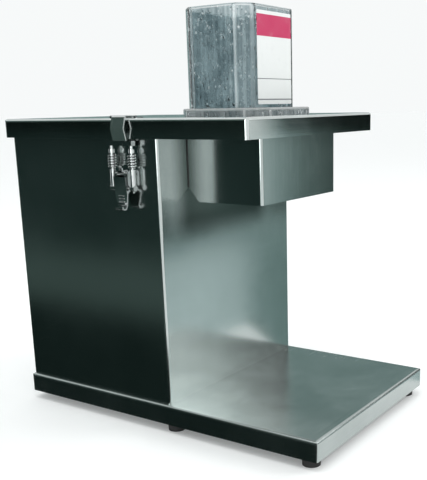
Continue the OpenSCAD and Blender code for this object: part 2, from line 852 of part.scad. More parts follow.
module shaft_seal() color("#303030") {
  translate([0, spindle_y, cover_z - seal_t]) difference() {
    cylinder(r = bearing_r - run_fit, h = seal_t);
    translate([0, 0, -cut]) cylinder(r = spindle_r + free_gap, h = seal_t + 2 * cut);
  }
}

module motor_bolt_spots() {
  reach = motor_r - 4;
  for (sx = [-1, 1], sy = [-1, 1]) translate([sx * reach, motor_y + sy * reach, 0]) children();
}

module motor_plate() color("gray") {
  size = 2 * motor_r + 6;
  slot_l = 12;
  difference() {
    translate([0, motor_y, base_top]) linear_extrude(motor_plate_t) rounded_rect(size, size, cabinet_r);
    motor_bolt_spots() translate([0, 0, base_top - cut]) linear_extrude(motor_plate_t + 2 * cut)
      rotate([0, 0, 90]) slot_shape(slot_l, 2 * (m6_r + bolt_fit));
  }
}

module motor_bolts() color("gainsboro") {
  motor_bolt_spots() translate([0, 0, motor_z])
    bolt(m6_r, motor_plate_t + base_t + bolt_tail, m6_head_r, m6_head_h);
}

module motor_body() color("slategray") {
  frame_h = motor_h - 2 * motor_bell_h;
  boss_h = 8;
  bell_r = motor_r - 12;
  bore_z = motor_h - motor_bell_h - frame_h / 4;
  translate([0, motor_y, motor_z]) difference() {
    union() {
      cylinder(r = bell_r, h = motor_bell_h + cut);
      translate([0, 0, motor_bell_h]) {
        cylinder(r = motor_r, h = frame_h);
        for (k = [1 : fin_count]) rotate([0, 0, k * 360 / fin_count])
          translate([motor_r - fin_t, -fin_t / 2, fin_h]) cube([fin_t + fin_h, fin_t, frame_h - 2 * fin_h]);
      }
      translate([0, 0, motor_h - motor_bell_h])
        cylinder(r1 = motor_r, r2 = motor_r - motor_bell_h / 2, h = motor_bell_h);
      translate([0, 0, motor_h]) cylinder(r = 2.5 * motor_shaft_r, h = boss_h);
    }
    translate([0, 0, bore_z]) cylinder(r = motor_shaft_r + run_fit, h = motor_h);
  }
}

module motor_shaft() color("lightgrey") {
  start = motor_z + motor_h - motor_bell_h - (motor_h - 2 * motor_bell_h) / 4 + free_gap;
  translate([0, motor_y, start]) cylinder(r = motor_shaft_r, h = pulley_top - start);
}

// Cover and hopper

module hopper_screw_places() {
  for (p = hopper_screw_spots) translate([p.x, hopper_y + p.y, 0]) children();
}

module hopper_bore(h) {
  linear_extrude(h) round_octagon(hopper_w - 2 * hopper_t, hopper_d - 2 * hopper_t,
    hopper_cut - hopper_t * (2 - sqrt(2)), hopper_r - hopper_t);
}

module cover_pan() color("silver") {
  difference() {
    translate([0, cover_mid_y, cover_z]) folded_pan(cover_w, cover_d, cover_h, cover_t, bend_r);
    translate([0, hopper_y, cover_top - cover_t - cut]) hopper_bore(cover_t + 2 * cut);
    hopper_screw_places() translate([0, 0, cover_top - cover_t - cut])
      cylinder(r = m4_r + bolt_fit, h = cover_t + 2 * cut);
  }
}

module hopper_tube() color("lightblue", 0.4) {
  translate([0, hopper_y, cover_top]) difference() {
    linear_extrude(hopper_h) round_octagon(hopper_w, hopper_d, hopper_cut, hopper_r);
    translate([0, 0, -cut]) hopper_bore(hopper_h + 2 * cut);
  }
}

module hopper_flange() color("lightblue", 0.5) {
  fit_w = hopper_w + 2 * run_fit;
  fit_d = hopper_d + 2 * run_fit;
  difference() {
    translate([0, hopper_y + (collar_rear - collar_front) / 2, cover_top]) linear_extrude(collar_t)
      round_octagon(hopper_w + 2 * collar_side, hopper_d + collar_rear + collar_front,
        collar_cut, collar_bend);
    translate([0, hopper_y, cover_top - cut]) linear_extrude(collar_t + 2 * cut)
      round_octagon(fit_w, fit_d, hopper_cut, hopper_r);
    hopper_screw_places() translate([0, 0, cover_top - cut])
      cylinder(r = m4_r + bolt_fit, h = hopper_screw_l + 2 * cut);
  }
}

module hopper_screws() color("gainsboro") {
  hopper_screw_places() translate([0, 0, cover_top - cover_t]) mirror([0, 0, 1])
    bolt(m4_r, cover_t + hopper_screw_l, m4_head_r, hopper_head_h);
}

module keeper(side) {
  plate_w = 12;
  plate_l = 36;
  plate_t = 1.2;
  rim_r = 1.4;
  on_side(side) translate([-cover_w / 2 + bend_r, latch_y, cover_top]) {
    translate([0, -plate_l / 2, 0]) cube([plate_w, plate_l, plate_t]);
    translate([rim_r, 0, rim_r + lap_gap]) rotate([90, 0, 0]) cylinder(r = rim_r, h = plate_l, center = true);
  }
}

module keeper_left() color("gainsboro") keeper("left");

module keeper_right() color("gainsboro") keeper("right");

// Rear hinges

// Knuckles whose number leaves this remainder, each a little narrower than its share
module knuckle_row(remainder, r, gap) {
  pitch = hinge_w / knuckles;
  for (k = [0 : knuckles - 1]) if (k % 2 == remainder)
    translate([(k - (knuckles - 1) / 2) * pitch, 0, 0]) hinge_rod(r, pitch - 2 * gap);
}

module hinge_places() {
  for (s = [-1, 1]) translate([s * hinge_x, hinge_axis_y, hinge_axis_z]) children();
}

// Round bar on the hinge's axis
module hinge_rod(r, l) rotate([0, 90, 0]) cylinder(r = r, h = l, center = true);

// Block that clears the other leaf's knuckles
module knuckle_room(remainder) knuckle_row(remainder, knuckle_r + free_gap, -free_gap / 2);

module hinge_cover_leaves() color("lightgrey") {
  hinge_places() difference() {
    union() {
      knuckle_row(1, knuckle_r, free_gap / 2);
      translate([-hinge_w / 2, cover_back_y - hinge_axis_y, 0]) cube([hinge_w, leaf_t, leaf_l + knuckle_r]);
    }
    knuckle_room(0);
    hinge_rod(hinge_pin_r + run_fit, hinge_w + 2 * cut);
  }
}

module hinge_cabinet_leaves() color("lightgrey") {
  hinge_places() difference() {
    union() {
      knuckle_row(0, knuckle_r, free_gap / 2);
      translate([-hinge_w / 2, -hinge_out, -leaf_l])
        cube([hinge_w, hinge_out - knuckle_r + leaf_bite, leaf_l]);
    }
    knuckle_room(1);
    hinge_rod(hinge_pin_r + run_fit, hinge_w + 2 * cut);
  }
}

module hinge_pins() color("gray") hinge_places() hinge_rod(hinge_pin_r, hinge_w);

// Toggle latches

module latch_base(side) {
  plate_half = 8;
  plate_z = toggle_z - 6;
  plate_l = lever_z - plate_z + 10;
  ear_r = 4;
  on_side(side) {
    latch_section(plate_half) translate([0, plate_z]) square([latch_plate_t, plate_l]);
    for (s = [-1, 1]) translate([0, s * (ear_in + ear_t / 2), 0]) latch_section(ear_t / 2) {
      translate([0, lever_z - ear_r]) square([latch_axis_out, 2 * ear_r]);
      translate([latch_axis_out, lever_z]) circle(ear_r);
    }
    latch_bar(latch_axis_out, lever_z, latch_pin_r, lever_half + free_gap);
  }
}

// Lever: two cheeks on the pivots, joined by a web that ends in a curled grip
module latch_lever(side) {
  web_out = latch_axis_out + 4.5;
  web_t = 1.5;
  cheek_r = 3.5;
  cheek_z = toggle_z - 2 * cheek_r;
  tip_z = lever_z - lever_l;
  tip_out = latch_axis_out + 1.5;
  curl_r = 4;
  curl_z = tip_z + curl_r;
  tip_half = 5.5;
  web_top = lever_z - 2;
  on_side(side) difference() {
    union() {
      for (s = [-1, 1]) translate([0, s * (cheek_in + cheek_t / 2), 0]) latch_section(cheek_t / 2) {
        translate([latch_axis_out, lever_z]) circle(cheek_r);
        translate([latch_axis_out, toggle_z]) circle(cheek_r);
        translate([latch_axis_out - cheek_r, toggle_z]) square([2 * cheek_r, toggle_arm]);
        polygon([[latch_axis_out, toggle_z - cheek_r], [web_out, web_top], [web_out + web_t, web_top],
          [latch_axis_out + cheek_r, cheek_z]]);
      }
      intersection() {
        latch_section(lever_half) polygon([[web_out, web_top], [web_out + web_t, web_top],
          [tip_out + web_t, curl_z], [tip_out, curl_z]]);
        translate([-cabinet_w / 2 - web_out - 2 * web_t, latch_y, 0]) rotate([90, 0, 90])
          linear_extrude(web_out) polygon([[-lever_half, web_top], [-lever_half, cheek_z], [-tip_half, tip_z],
            [tip_half, tip_z], [lever_half, cheek_z], [lever_half, web_top]]);
      }
      latch_section(tip_half) difference() {
        translate([tip_out + curl_r, curl_z]) circle(curl_r);
        translate([tip_out + curl_r, curl_z]) circle(curl_r - web_t);
        translate([tip_out + curl_r, curl_z]) square(2 * curl_r);
      }
    }
    latch_bar(latch_axis_out, lever_z, latch_pin_r + run_fit, lever_half + cut);
    latch_bar(latch_axis_out, toggle_z, latch_pin_r + run_fit, lever_half + cut);
  }
}

// Hook: cross pin in the lever, two rods with spring seats, a yoke and a bent plate that ends in a lip
module latch_hook(side) {
  rod_y = spring_gap / 2;
  kink_z = cover_z + cover_h / 2;
  on_side(side) {
    latch_bar(latch_axis_out, toggle_z, latch_pin_r, rod_y);
    for (s = [-1, 1]) translate([0, s * rod_y, 0]) {
      latch_bar(latch_axis_out, toggle_z, eye_r, eye_r);
      translate([-cabinet_w / 2 - latch_axis_out, latch_y, 0]) {
        translate([0, 0, toggle_z]) cylinder(r = eye_r, h = spring_z - seat_gap - toggle_z);
        translate([0, 0, toggle_z]) cylinder(r = rod_r, h = yoke_z - toggle_z + cut);
        translate([0, 0, spring_top + seat_gap]) cylinder(r = eye_r, h = collar_h);
      }
    }
    latch_section(rod_y + eye_r) translate([latch_axis_out - eye_r, yoke_z]) square([2 * eye_r, yoke_h]);
    latch_section(hook_w / 2) polygon([
      [latch_axis_out, yoke_z + yoke_h / 2], [latch_axis_out + hook_t, yoke_z + yoke_h / 2],
      [hook_bulge + hook_t, kink_z], [lip_out + 2 * hook_t, hook_top - hook_t], [lip_out + hook_t, hook_top],
      [lip_out, hook_top], [lip_out, hook_top - hook_t], [lip_out + hook_t, hook_top - 2 * hook_t],
      [hook_bulge, kink_z]
    ]);
  }
}

module latch_springs(side) {
  pitch = (spring_l - 2 * wire_r) / (spring_coils - 1);
  on_side(side) for (s = [-1, 1])
    translate([-cabinet_w / 2 - latch_axis_out, latch_y + s * spring_gap / 2, spring_z + wire_r])
      rotate_extrude() union() {
        for (k = [0 : spring_coils - 1]) translate([spring_r - wire_r, k * pitch]) circle(wire_r, $fn = 16);
        translate([spring_r - 1.5 * wire_r, 0]) square([wire_r, spring_l - 2 * wire_r]);
      }
}

module latch_base_left() color("gainsboro") latch_base("left");
module latch_base_right() color("gainsboro") latch_base("right");
module latch_lever_left() color("silver") latch_lever("left");
module latch_lever_right() color("silver") latch_lever("right");
module latch_hook_left() color("gainsboro") latch_hook("left");
module latch_hook_right() color("gainsboro") latch_hook("right");
module latch_springs_left() color("lightgrey") latch_springs("left");
module latch_springs_right() color("lightgrey") latch_springs("right");

// Switch and cable gland

module switch_bezel() color("#1c1c1c") {
  shell_w = switch_w - 2 * bezel_t - 2 * free_gap;
  shell_h = switch_h - 2 * bezel_t - 2 * free_gap;
  well_w = shell_w - 2 * bezel_t;
  well_h = shell_h - 2 * bezel_t;
  translate([cabinet_w / 2, switch_y, switch_z]) rotate([90, 0, 90]) difference() {
    union() {
      linear_extrude(bezel_t) rounded_rect(switch_w, switch_h, bezel_t);
      translate([-shell_w / 2, -shell_h / 2, -switch_depth]) cube([shell_w, shell_h, switch_depth + cut]);
    }
    translate([-well_w / 2, -well_h / 2, bezel_t - switch_depth]) cube([well_w, well_h, switch_depth + cut]);
  }
  rocker_axis() cylinder(r = bezel_t / 2, h = well_w + cut, center = true);
}

// Frame with z along the rocker's pin
module rocker_axis() {
  translate([cabinet_w / 2 - rocker_deep, switch_y, switch_z]) rotate([90, 0, 0]) children();
}

module switch_rocker() color("#b01818") {
  rocker_w = switch_w - 6 * bezel_t;
  rocker_h = switch_h - 6 * bezel_t - 2 * rocker_gap;
  rocker_axis() rotate([0, 0, -rocker_tilt]) difference() {
    union() {
      linear_extrude(rocker_w, center = true) polygon([
        [0, -rocker_h / 2], [rocker_high, -rocker_h / 2], [rocker_low, 0],
        [rocker_high, rocker_h / 2], [0, rocker_h / 2]
      ]);
      cylinder(r = 2 * bezel_t, h = rocker_w, center = true);
    }
    cylinder(r = bezel_t / 2 + run_fit, h = rocker_w + 2 * cut, center = true);
  }
}

module cable_gland() color("#262626") {
  nut_h = 6;
  dome_h = gland_reach - nut_h;
  translate([gland_x, cab_back_y, gland_z]) rotate([-90, 0, 0]) difference() {
    union() {
      translate([0, 0, -cabinet_t - nut_h]) cylinder(r = gland_wall_hole, h = cabinet_t + nut_h + cut);
      cylinder(r = gland_nut_r, h = nut_h, $fn = 6);
      translate([0, 0, nut_h]) cylinder(r1 = gland_r, r2 = gland_tip_r, h = dome_h);
    }
    translate([0, 0, -cabinet_t - nut_h - cut])
      cylinder(d = gland_bore, h = gland_reach + cabinet_t + nut_h + 2 * cut);
  }
}

base_tray();
rubber_feet();
foot_bolts();
cabinet_shell();
cabinet_back();
cabinet_bolts();
rear_panel();
panel_screws();
deck_plate();
deck_bolts();
chamber_ring();
grid_frame();
grid_knives_along();
grid_knives_across();
slicing_disc();
slicing_blade();
blade_screws();
disc_nut();
spindle();
driven_pulley();
bearing_housing();
housing_bolts();
bearings();
shaft_seal();
motor_plate();
motor_body();
motor_bolts();
motor_shaft();
drive_pulley();
drive_belt();
discharge_chute();
chute_screws();
cover_pan();
hopper_tube();
hopper_flange();
hopper_screws();
keeper_left();
keeper_right();
hinge_cover_leaves();
hinge_cabinet_leaves();
hinge_pins();
latch_base_left();
latch_lever_left();
latch_hook_left();
latch_springs_left();
latch_base_right();
latch_lever_right();
latch_hook_right();
latch_springs_right();
switch_bezel();
switch_rocker();
cable_gland();
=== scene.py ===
import math

import bmesh
import bpy
from mathutils import Matrix, Vector


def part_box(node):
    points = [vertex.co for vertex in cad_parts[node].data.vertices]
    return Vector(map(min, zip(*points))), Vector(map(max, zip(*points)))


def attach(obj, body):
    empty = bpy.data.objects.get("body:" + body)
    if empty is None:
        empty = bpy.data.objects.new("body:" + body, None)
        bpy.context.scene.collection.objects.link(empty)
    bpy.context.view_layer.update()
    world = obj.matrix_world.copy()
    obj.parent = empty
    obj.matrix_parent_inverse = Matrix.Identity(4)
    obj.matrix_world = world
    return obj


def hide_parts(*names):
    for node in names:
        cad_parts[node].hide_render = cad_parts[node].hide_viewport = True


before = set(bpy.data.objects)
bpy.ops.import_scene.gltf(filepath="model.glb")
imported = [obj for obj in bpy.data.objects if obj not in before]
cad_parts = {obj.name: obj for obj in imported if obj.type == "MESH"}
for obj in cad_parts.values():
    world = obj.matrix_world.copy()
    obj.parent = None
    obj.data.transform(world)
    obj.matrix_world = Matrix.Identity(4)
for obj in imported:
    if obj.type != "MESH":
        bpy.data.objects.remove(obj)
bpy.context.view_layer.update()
MM = 0.001

# Camera
# It stands before the machine's front left corner, a little above the cover, and looks slightly down.
# The shift puts the lens axis low and right of the picture's middle, as in the photograph.
PICTURE = (427, 480)
AXIS_PIXEL = (270, 300)
FOCAL_PIXELS = 785.5
SENSOR = 36
EYE = Vector((-746.9, -568.2, 352.0)) * MM
YAW, PITCH, ROLL = -0.9891, -0.2427, -0.0182
ahead = Vector((-math.sin(YAW) * math.cos(PITCH), math.cos(YAW) * math.cos(PITCH), math.sin(PITCH)))
level = Vector((math.cos(YAW), math.sin(YAW), 0))
upward = level.cross(ahead)
right = level * math.cos(ROLL) + upward * math.sin(ROLL)
top = upward * math.cos(ROLL) - level * math.sin(ROLL)
lens = bpy.data.cameras.new("camera")
lens.sensor_width = SENSOR
lens.lens = SENSOR * FOCAL_PIXELS / PICTURE[1]
lens.shift_x = (PICTURE[0] / 2 - AXIS_PIXEL[0]) / PICTURE[1]
lens.shift_y = (AXIS_PIXEL[1] - PICTURE[1] / 2) / PICTURE[1]
camera = bpy.data.objects.new("camera", lens)
bpy.context.scene.collection.objects.link(camera)
camera.matrix_world = Matrix((
    (right.x, top.x, -ahead.x, EYE.x),
    (right.y, top.y, -ahead.y, EYE.y),
    (right.z, top.z, -ahead.z, EYE.z),
    (0, 0, 0, 1)))
bpy.context.scene.camera = camera
bpy.context.scene.view_settings.view_transform = "Standard"


# Studio
# A white floor under an even white sky, a large soft lamp at the front right and a weaker one overhead.
# Cards that glossy rays alone see stand and lie round the machine, as flags beside polished metal do.
FLOOR_COLOR = (0.94, 0.95, 0.95, 1)
FLOOR_REACH = 30
FLOOR_GLOW = 0.15
SKY_COLOR = (0.93, 0.95, 0.95, 1)
DAYLIGHT = 0.88
LAMP_AIM = Vector((0, 0, 0.2))
CARD_LIFT = 0.003
CARD_SPLIT = 0.27
STRIP_GLOW = 5.0
SQUARE = ((-1, -1), (1, -1), (1, 1), (-1, 1))


def plain_material(name, color, roughness):
    """Material with one Principled shader; returns it with its nodes, links and shader."""
    material = bpy.data.materials.new(name)
    material.use_nodes = True
    tree = material.node_tree
    shader = tree.nodes["Principled BSDF"]
    shader.inputs["Base Color"].default_value = color
    shader.inputs["Roughness"].default_value = roughness
    return material, tree.nodes, tree.links.new, shader


def put_in_scene(name, bm, material, smooth=40):
    """Makes an object of a finished bmesh, shaded smooth below the given angle."""
    mesh = bpy.data.meshes.new(name)
    for face in bm.faces:
        face.smooth = smooth > 0
    for edge in bm.edges:
        edge.smooth = len(edge.link_faces) == 2 and edge.calc_face_angle(0) < math.radians(smooth)
    bm.to_mesh(mesh)
    bm.free()
    mesh.materials.append(material)
    piece = bpy.data.objects.new(name, mesh)
    bpy.context.scene.collection.objects.link(piece)
    return piece


def flat_sheet(name, corners, material):
    """Flat sheet for the floor and the studio's cards."""
    bm = bmesh.new()
    bm.faces.new([bm.verts.new(corner) for corner in corners])
    sheet = put_in_scene(name, bm, material, 0)
    return sheet


def combine(tree_nodes, link, operation, first, second):
    """Math node of two sockets; returns its result."""
    made = tree_nodes.new("ShaderNodeMath")
    made.operation = operation
    link(first, made.inputs[0])
    link(second, made.inputs[1])
    return made.outputs[0]


def spread(tree_nodes, link, value, low, high, to_low, to_high, blend="LINEAR"):
    """Map Range of a socket; its bounds may be sockets too."""
    ranger = tree_nodes.new("ShaderNodeMapRange")
    ranger.interpolation_type = blend
    link(value, ranger.inputs[0])
    for place, bound in ((1, low), (2, high), (3, to_low), (4, to_high)):
        if isinstance(bound, bpy.types.NodeSocket):
            link(bound, ranger.inputs[place])
        else:
            ranger.inputs[place].default_value = bound
    return ranger.outputs[0]


def color_bands(tree_nodes, link, value, blend, bands):
    """Colour ramp over a socket; each band gives a stop's place and its colour."""
    ramp = tree_nodes.new("ShaderNodeValToRGB")
    ramp.color_ramp.interpolation = blend
    while len(ramp.color_ramp.elements) < len(bands):
        ramp.color_ramp.elements.new(0.5)
    for stop, (place, color) in zip(ramp.color_ramp.elements, bands):
        stop.position, stop.color = place, color
    link(value, ramp.inputs[0])
    return ramp.outputs[0]


floor_paint, parts, link, shader = plain_material("floor_paint", FLOOR_COLOR, 0.7)
shader.inputs["Emission Color"].default_value = FLOOR_COLOR
shader.inputs["Emission Strength"].default_value = FLOOR_GLOW
flat_sheet("floor", [(x * FLOOR_REACH, y * FLOOR_REACH, 0) for x, y in SQUARE], floor_paint)

sky = bpy.data.worlds.new("studio_sky")
bpy.context.scene.world = sky
sky.use_nodes = True
parts, link = sky.node_tree.nodes, sky.node_tree.links.new
backdrop = parts["Background"]
backdrop.inputs["Color"].default_value = SKY_COLOR
rays = parts.new("ShaderNodeLightPath").outputs
seen = rays["Is Camera Ray"]
for other in ("Is Glossy Ray", "Is Transmission Ray"):
    seen = combine(parts, link, "MAXIMUM", seen, rays[other])
link(spread(parts, link, seen, 0.0, 1.0, DAYLIGHT, 1.0), backdrop.inputs["Strength"])


def soft_lamp(name, place, size, power):
    """Square area lamp that looks at the machine."""
    lamp = bpy.data.lights.new(name, "AREA")
    lamp.size = size
    lamp.energy = power
    holder = bpy.data.objects.new(name, lamp)
    bpy.context.scene.collection.objects.link(holder)
    holder.location = place
    holder.rotation_euler = (LAMP_AIM - Vector(place)).to_track_quat("-Z", "Y").to_euler()


soft_lamp("front_lamp", (1.5, -1.9, 1.7), size=1.4, power=22)
soft_lamp("top_lamp", (-0.4, 0.2, 2.2), size=1.0, power=10)


def gloss_card(name, corners, across, middle, half, bands, glow=1.0):
    """Glowing card that only glossy rays see; bands of colour run along one direction from its middle."""
    material, parts, link, shader = plain_material(name, (0, 0, 0, 1), 1.0)
    shader.inputs["Specular IOR Level"].default_value = 0
    along = parts.new("ShaderNodeVectorMath")
    along.operation = "DOT_PRODUCT"
    along.inputs[1].default_value = across
    link(parts.new("ShaderNodeTexCoord").outputs["Object"], along.inputs[0])
    centre = middle.dot(across)
    place = spread(parts, link, along.outputs["Value"], centre - half, centre + half, 0.0, 1.0)
    link(color_bands(parts, link, place, "EASE", bands), shader.inputs["Emission Color"])
    shader.inputs["Emission Strength"].default_value = glow
    card = flat_sheet(name, corners, material)
    card.visible_camera = False
    card.visible_diffuse = False
    card.visible_shadow = False
    card.visible_transmission = False


def wall_card(name, heights, line, across, half, bands, glow=1.0):
    """Upright gloss card between two heights, over the line from one floor point to another."""
    first, last = (Vector(end) for end in line)
    foot, head = (Vector((0, 0, height)) for height in heights)
    corners = [first + foot, last + foot, last + head, first + head]
    gloss_card(name, corners, across, (first + last) / 2, half, bands, glow)


def floor_card(name, outline, across, bands):
    """Gloss card that lies just over the floor; bands run across the whole card."""
    corners = [Vector((x, y, CARD_LIFT)) for x, y in outline]
    reach = [corner.dot(across) for corner in corners]
    near, far = min(reach), max(reach)
    gloss_card(name, corners, across, across * (far + near) / 2, (far - near) / 2, bands)


NIGHT = (0.003, 0.006, 0.005, 1)
GLOOM = (0.010, 0.019, 0.017, 1)
DUSK = (0.018, 0.034, 0.031, 1)
TEAL = (0.030, 0.052, 0.050, 1)
SLATE = (0.070, 0.105, 0.095, 1)
MIST = (0.20, 0.30, 0.29, 1)
CLOUD = (0.58, 0.71, 0.71, 1)
WHITE = (0.95, 0.97, 0.96, 1)
to_rear, to_left, to_front = Vector((0, 1, 0)), Vector((-1, 0, 0)), Vector((0, -1, 0))
left_line = (-1.5, -0.15, 0), (-1.1, 2.6, 0)
left_tones = [("foot", (0.0, CARD_SPLIT), DUSK), ("middle", (CARD_SPLIT, 0.60), NIGHT),
              ("head", (0.60, 2.0), SLATE)]
for label, heights, shade in left_tones:
    wall_card("left_card_" + label, heights, left_line, to_rear, 1.3,
              [(0.04, CLOUD), (0.15, shade), (0.80, shade), (0.95, CLOUD)])
floor_card("low_left_card", [(-1.6, -0.3), (-0.135, -0.3), (-0.135, 2.6), (-1.6, 2.6)], to_left,
           [(0.0, GLOOM), (0.18, GLOOM), (0.30, SLATE), (0.40, SLATE), (0.60, DUSK), (1.0, DUSK)])
right_across = Vector((0.515, 0.857, 0))
right_line = (1.062, -1.478, 0), (1.680, -0.450, 0)
wall_card("right_card", (CARD_SPLIT, 0.75), right_line, right_across, 0.6,
          [(0.14, MIST), (0.20, WHITE), (0.36, WHITE), (0.41, MIST), (0.45, GLOOM), (0.55, NIGHT)])
wall_card("right_card_foot", (0.0, CARD_SPLIT), right_line, right_across, 0.6,
          [(0.26, SLATE), (0.31, CLOUD), (0.36, WHITE), (0.41, CLOUD), (0.46, MIST), (0.54, SLATE),
           (0.66, DUSK)])
rear_right_line = (1.5, 0, 0), (0.42, 1.44, 0)
wall_card("rear_right_card", (0.0, 0.8), rear_right_line, to_rear, 0.72, [(0.0, MIST), (1.0, MIST)])
floor_card("front_card", [(0.16, -0.2), (0.28, -0.2), (1.87, -1.3), (0.16, -1.3)], to_front,
           [(0.0, CLOUD), (0.40, CLOUD), (0.54, MIST), (0.68, TEAL), (0.90, GLOOM)])
floor_card("front_right_card",
           [(0.14, -0.03), (2.2, -0.03), (2.2, -1.3), (1.87, -1.3), (0.28, -0.2)], to_front,
           [(0.0, MIST), (0.4, MIST), (1.0, CLOUD)])
strip_line = (-1.15, -0.55, 0), (-1.25, -0.10, 0)
wall_card("left_strip", (0.2, 1.0), strip_line, to_rear, 0.23, [(0.0, WHITE), (1.0, WHITE)], STRIP_GLOW)


# Base tray
# An inverted pan of brushed stainless sheet with bent sides; the cabinet is bolted to its rear half.
# Its brushing runs level along the bends, and use has left smudges on it.
LEVEL_BRUSH = (2, 2, 900)
TOP_BRUSH = (2, 900, 2)
SMUDGE_SHARE = 0.4


def new_group(name, inputs, outputs):
    """Empty shader group; returns it with its inner input sockets and output sockets."""
    group = bpy.data.node_groups.new(name, "ShaderNodeTree")
    for label, kind, value in inputs:
        group.interface.new_socket(label, in_out="INPUT", socket_type=kind).default_value = value
    for label, kind in outputs:
        group.interface.new_socket(label, in_out="OUTPUT", socket_type=kind)
    return group, group.nodes.new("NodeGroupInput").outputs, group.nodes.new("NodeGroupOutput").inputs


def node(tree_nodes, kind, **settings):
    """New node; a setting names a property, or an input socket where there is no such property."""
    made = tree_nodes.new("ShaderNode" + kind)
    for label, value in settings.items():
        if hasattr(made, label):
            setattr(made, label, value)
        else:
            made.inputs[label.replace("_", " ").title()].default_value = value
    return made


def color_mix(tree_nodes, link, share, first, second):
    """Mix of two colours; all three may be sockets. Returns the mixed socket."""
    mixer = tree_nodes.new("ShaderNodeMix")
    mixer.data_type = "RGBA"
    for socket, value in ((mixer.inputs[0], share), (mixer.inputs[6], first), (mixer.inputs[7], second)):
        if isinstance(value, bpy.types.NodeSocket):
            link(value, socket)
        else:
            socket.default_value = value
    return mixer.outputs[2]


# The brushed effect: long streaks along one direction, another direction on level faces, and smudges
brushed, given, put = new_group("brushed_metal", [
    ("Wall Lines", "NodeSocketVector", (6, 6, 900)),
    ("Level Lines", "NodeSocketVector", (900, 6, 6)),
    ("Dark", "NodeSocketColor", (0.3, 0.3, 0.3, 1)),
    ("Light", "NodeSocketColor", (0.5, 0.5, 0.5, 1)),
    ("Polished", "NodeSocketFloat", 0.15),
    ("Dull", "NodeSocketFloat", 0.35)],
    [("Color", "NodeSocketColor"), ("Roughness", "NodeSocketFloat"), ("Height", "NodeSocketFloat")])
parts, link = brushed.nodes, brushed.links.new
spot = parts.new("ShaderNodeTexCoord").outputs["Object"]
facing = parts.new("ShaderNodeSeparateXYZ")
link(parts.new("ShaderNodeNewGeometry").outputs["True Normal"], facing.inputs[0])
levelness = node(parts, "Math", operation="ABSOLUTE")
link(facing.outputs[2], levelness.inputs[0])
streaks = []
for label in ("Wall Lines", "Level Lines"):
    stretch = node(parts, "VectorMath", operation="MULTIPLY")
    link(spot, stretch.inputs[0])
    link(given[label], stretch.inputs[1])
    noise = node(parts, "TexNoise", scale=1.0, detail=5.0, roughness=0.7)
    link(stretch.outputs[0], noise.inputs["Vector"])
    streaks.append(noise.outputs[0])
is_level = spread(parts, link, levelness.outputs[0], 0.6, 0.8, 0.0, 1.0)
streak = node(parts, "Mix", data_type="FLOAT")
link(is_level, streak.inputs[0])
link(streaks[0], streak.inputs[2])
link(streaks[1], streak.inputs[3])
smudge = node(parts, "TexNoise", scale=11.0, detail=4.0, roughness=0.6)
link(spot, smudge.inputs["Vector"])
smear = spread(parts, link, smudge.outputs[0], 0.35, 0.70, 0.0, 1.0)
tone = node(parts, "Mix", data_type="FLOAT")
tone.inputs[0].default_value = SMUDGE_SHARE
link(streak.outputs[0], tone.inputs[2])
link(smear, tone.inputs[3])
contrast = spread(parts, link, tone.outputs[0], 0.25, 0.75, 0.0, 1.0)
link(color_mix(parts, link, contrast, given["Dark"], given["Light"]), put["Color"])
link(spread(parts, link, contrast, 0.0, 1.0, given["Polished"], given["Dull"]), put["Roughness"])
link(streak.outputs[0], put["Height"])


def brushed_metal(name, dark, light, polished, dull, wall_lines, level_lines=None,
                  metallic=1.0, grain=0.015):
    """Material with its own tones, roughness and brushing; level faces may be brushed another way."""
    material, parts, link, shader = plain_material(name, light, dull)
    shader.inputs["Metallic"].default_value = metallic
    effect = node(parts, "Group", node_tree=brushed)
    values = {"Wall Lines": wall_lines, "Level Lines": level_lines or wall_lines,
              "Dark": dark, "Light": light, "Polished": polished, "Dull": dull}
    for label, value in values.items():
        effect.inputs[label].default_value = value
    bump = node(parts, "Bump", strength=grain, distance=0.001)
    link(effect.outputs["Height"], bump.inputs["Height"])
    link(effect.outputs["Color"], shader.inputs["Base Color"])
    link(effect.outputs["Roughness"], shader.inputs["Roughness"])
    link(bump.outputs[0], shader.inputs["Normal"])
    return material


def dress(material, *names):
    """Gives CAD nodes their finish."""
    for name in names:
        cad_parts[name].data.materials.clear()
        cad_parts[name].data.materials.append(material)


tray_steel = brushed_metal("tray_steel", dark=(0.38, 0.42, 0.41, 1), light=(0.47, 0.51, 0.50, 1),
                           polished=0.20, dull=0.28, wall_lines=LEVEL_BRUSH, level_lines=TOP_BRUSH)
dress(tray_steel, "base_tray")


# Feet
# Six black rubber feet, moulded round with a soft lower edge, each held by a bolt from below.
# The shaft seal and the drive belt are of the same rubber.
rubber, parts, link, shader = plain_material("foot_rubber", (0.012, 0.012, 0.012, 1), 0.75)
crumb = node(parts, "TexNoise", scale=420.0, detail=4.0)
link(parts.new("ShaderNodeTexCoord").outputs["Object"], crumb.inputs["Vector"])
link(color_mix(parts, link, crumb.outputs[0], (0.008, 0.008, 0.008, 1), (0.022, 0.022, 0.022, 1)),
     shader.inputs["Base Color"])
link(spread(parts, link, crumb.outputs[0], 0.3, 0.7, 0.62, 0.85), shader.inputs["Roughness"])
bump = node(parts, "Bump", strength=0.2, distance=0.0004)
link(crumb.outputs[0], bump.inputs["Height"])
link(bump.outputs[0], shader.inputs["Normal"])
dress(rubber, "rubber_feet", "shaft_seal", "drive_belt")


# Bolts and screws
# Bright stainless heads and shanks, turned and tumbled, that hold the sheets together.
screw_steel = brushed_metal("screw_steel", dark=(0.46, 0.47, 0.47, 1), light=(0.66, 0.67, 0.67, 1),
                            polished=0.18, dull=0.30, wall_lines=(400, 400, 60))
dress(screw_steel, "foot_bolts", "cabinet_bolts", "deck_bolts", "housing_bolts", "motor_bolts",
      "chute_screws", "hopper_screws", "blade_screws")


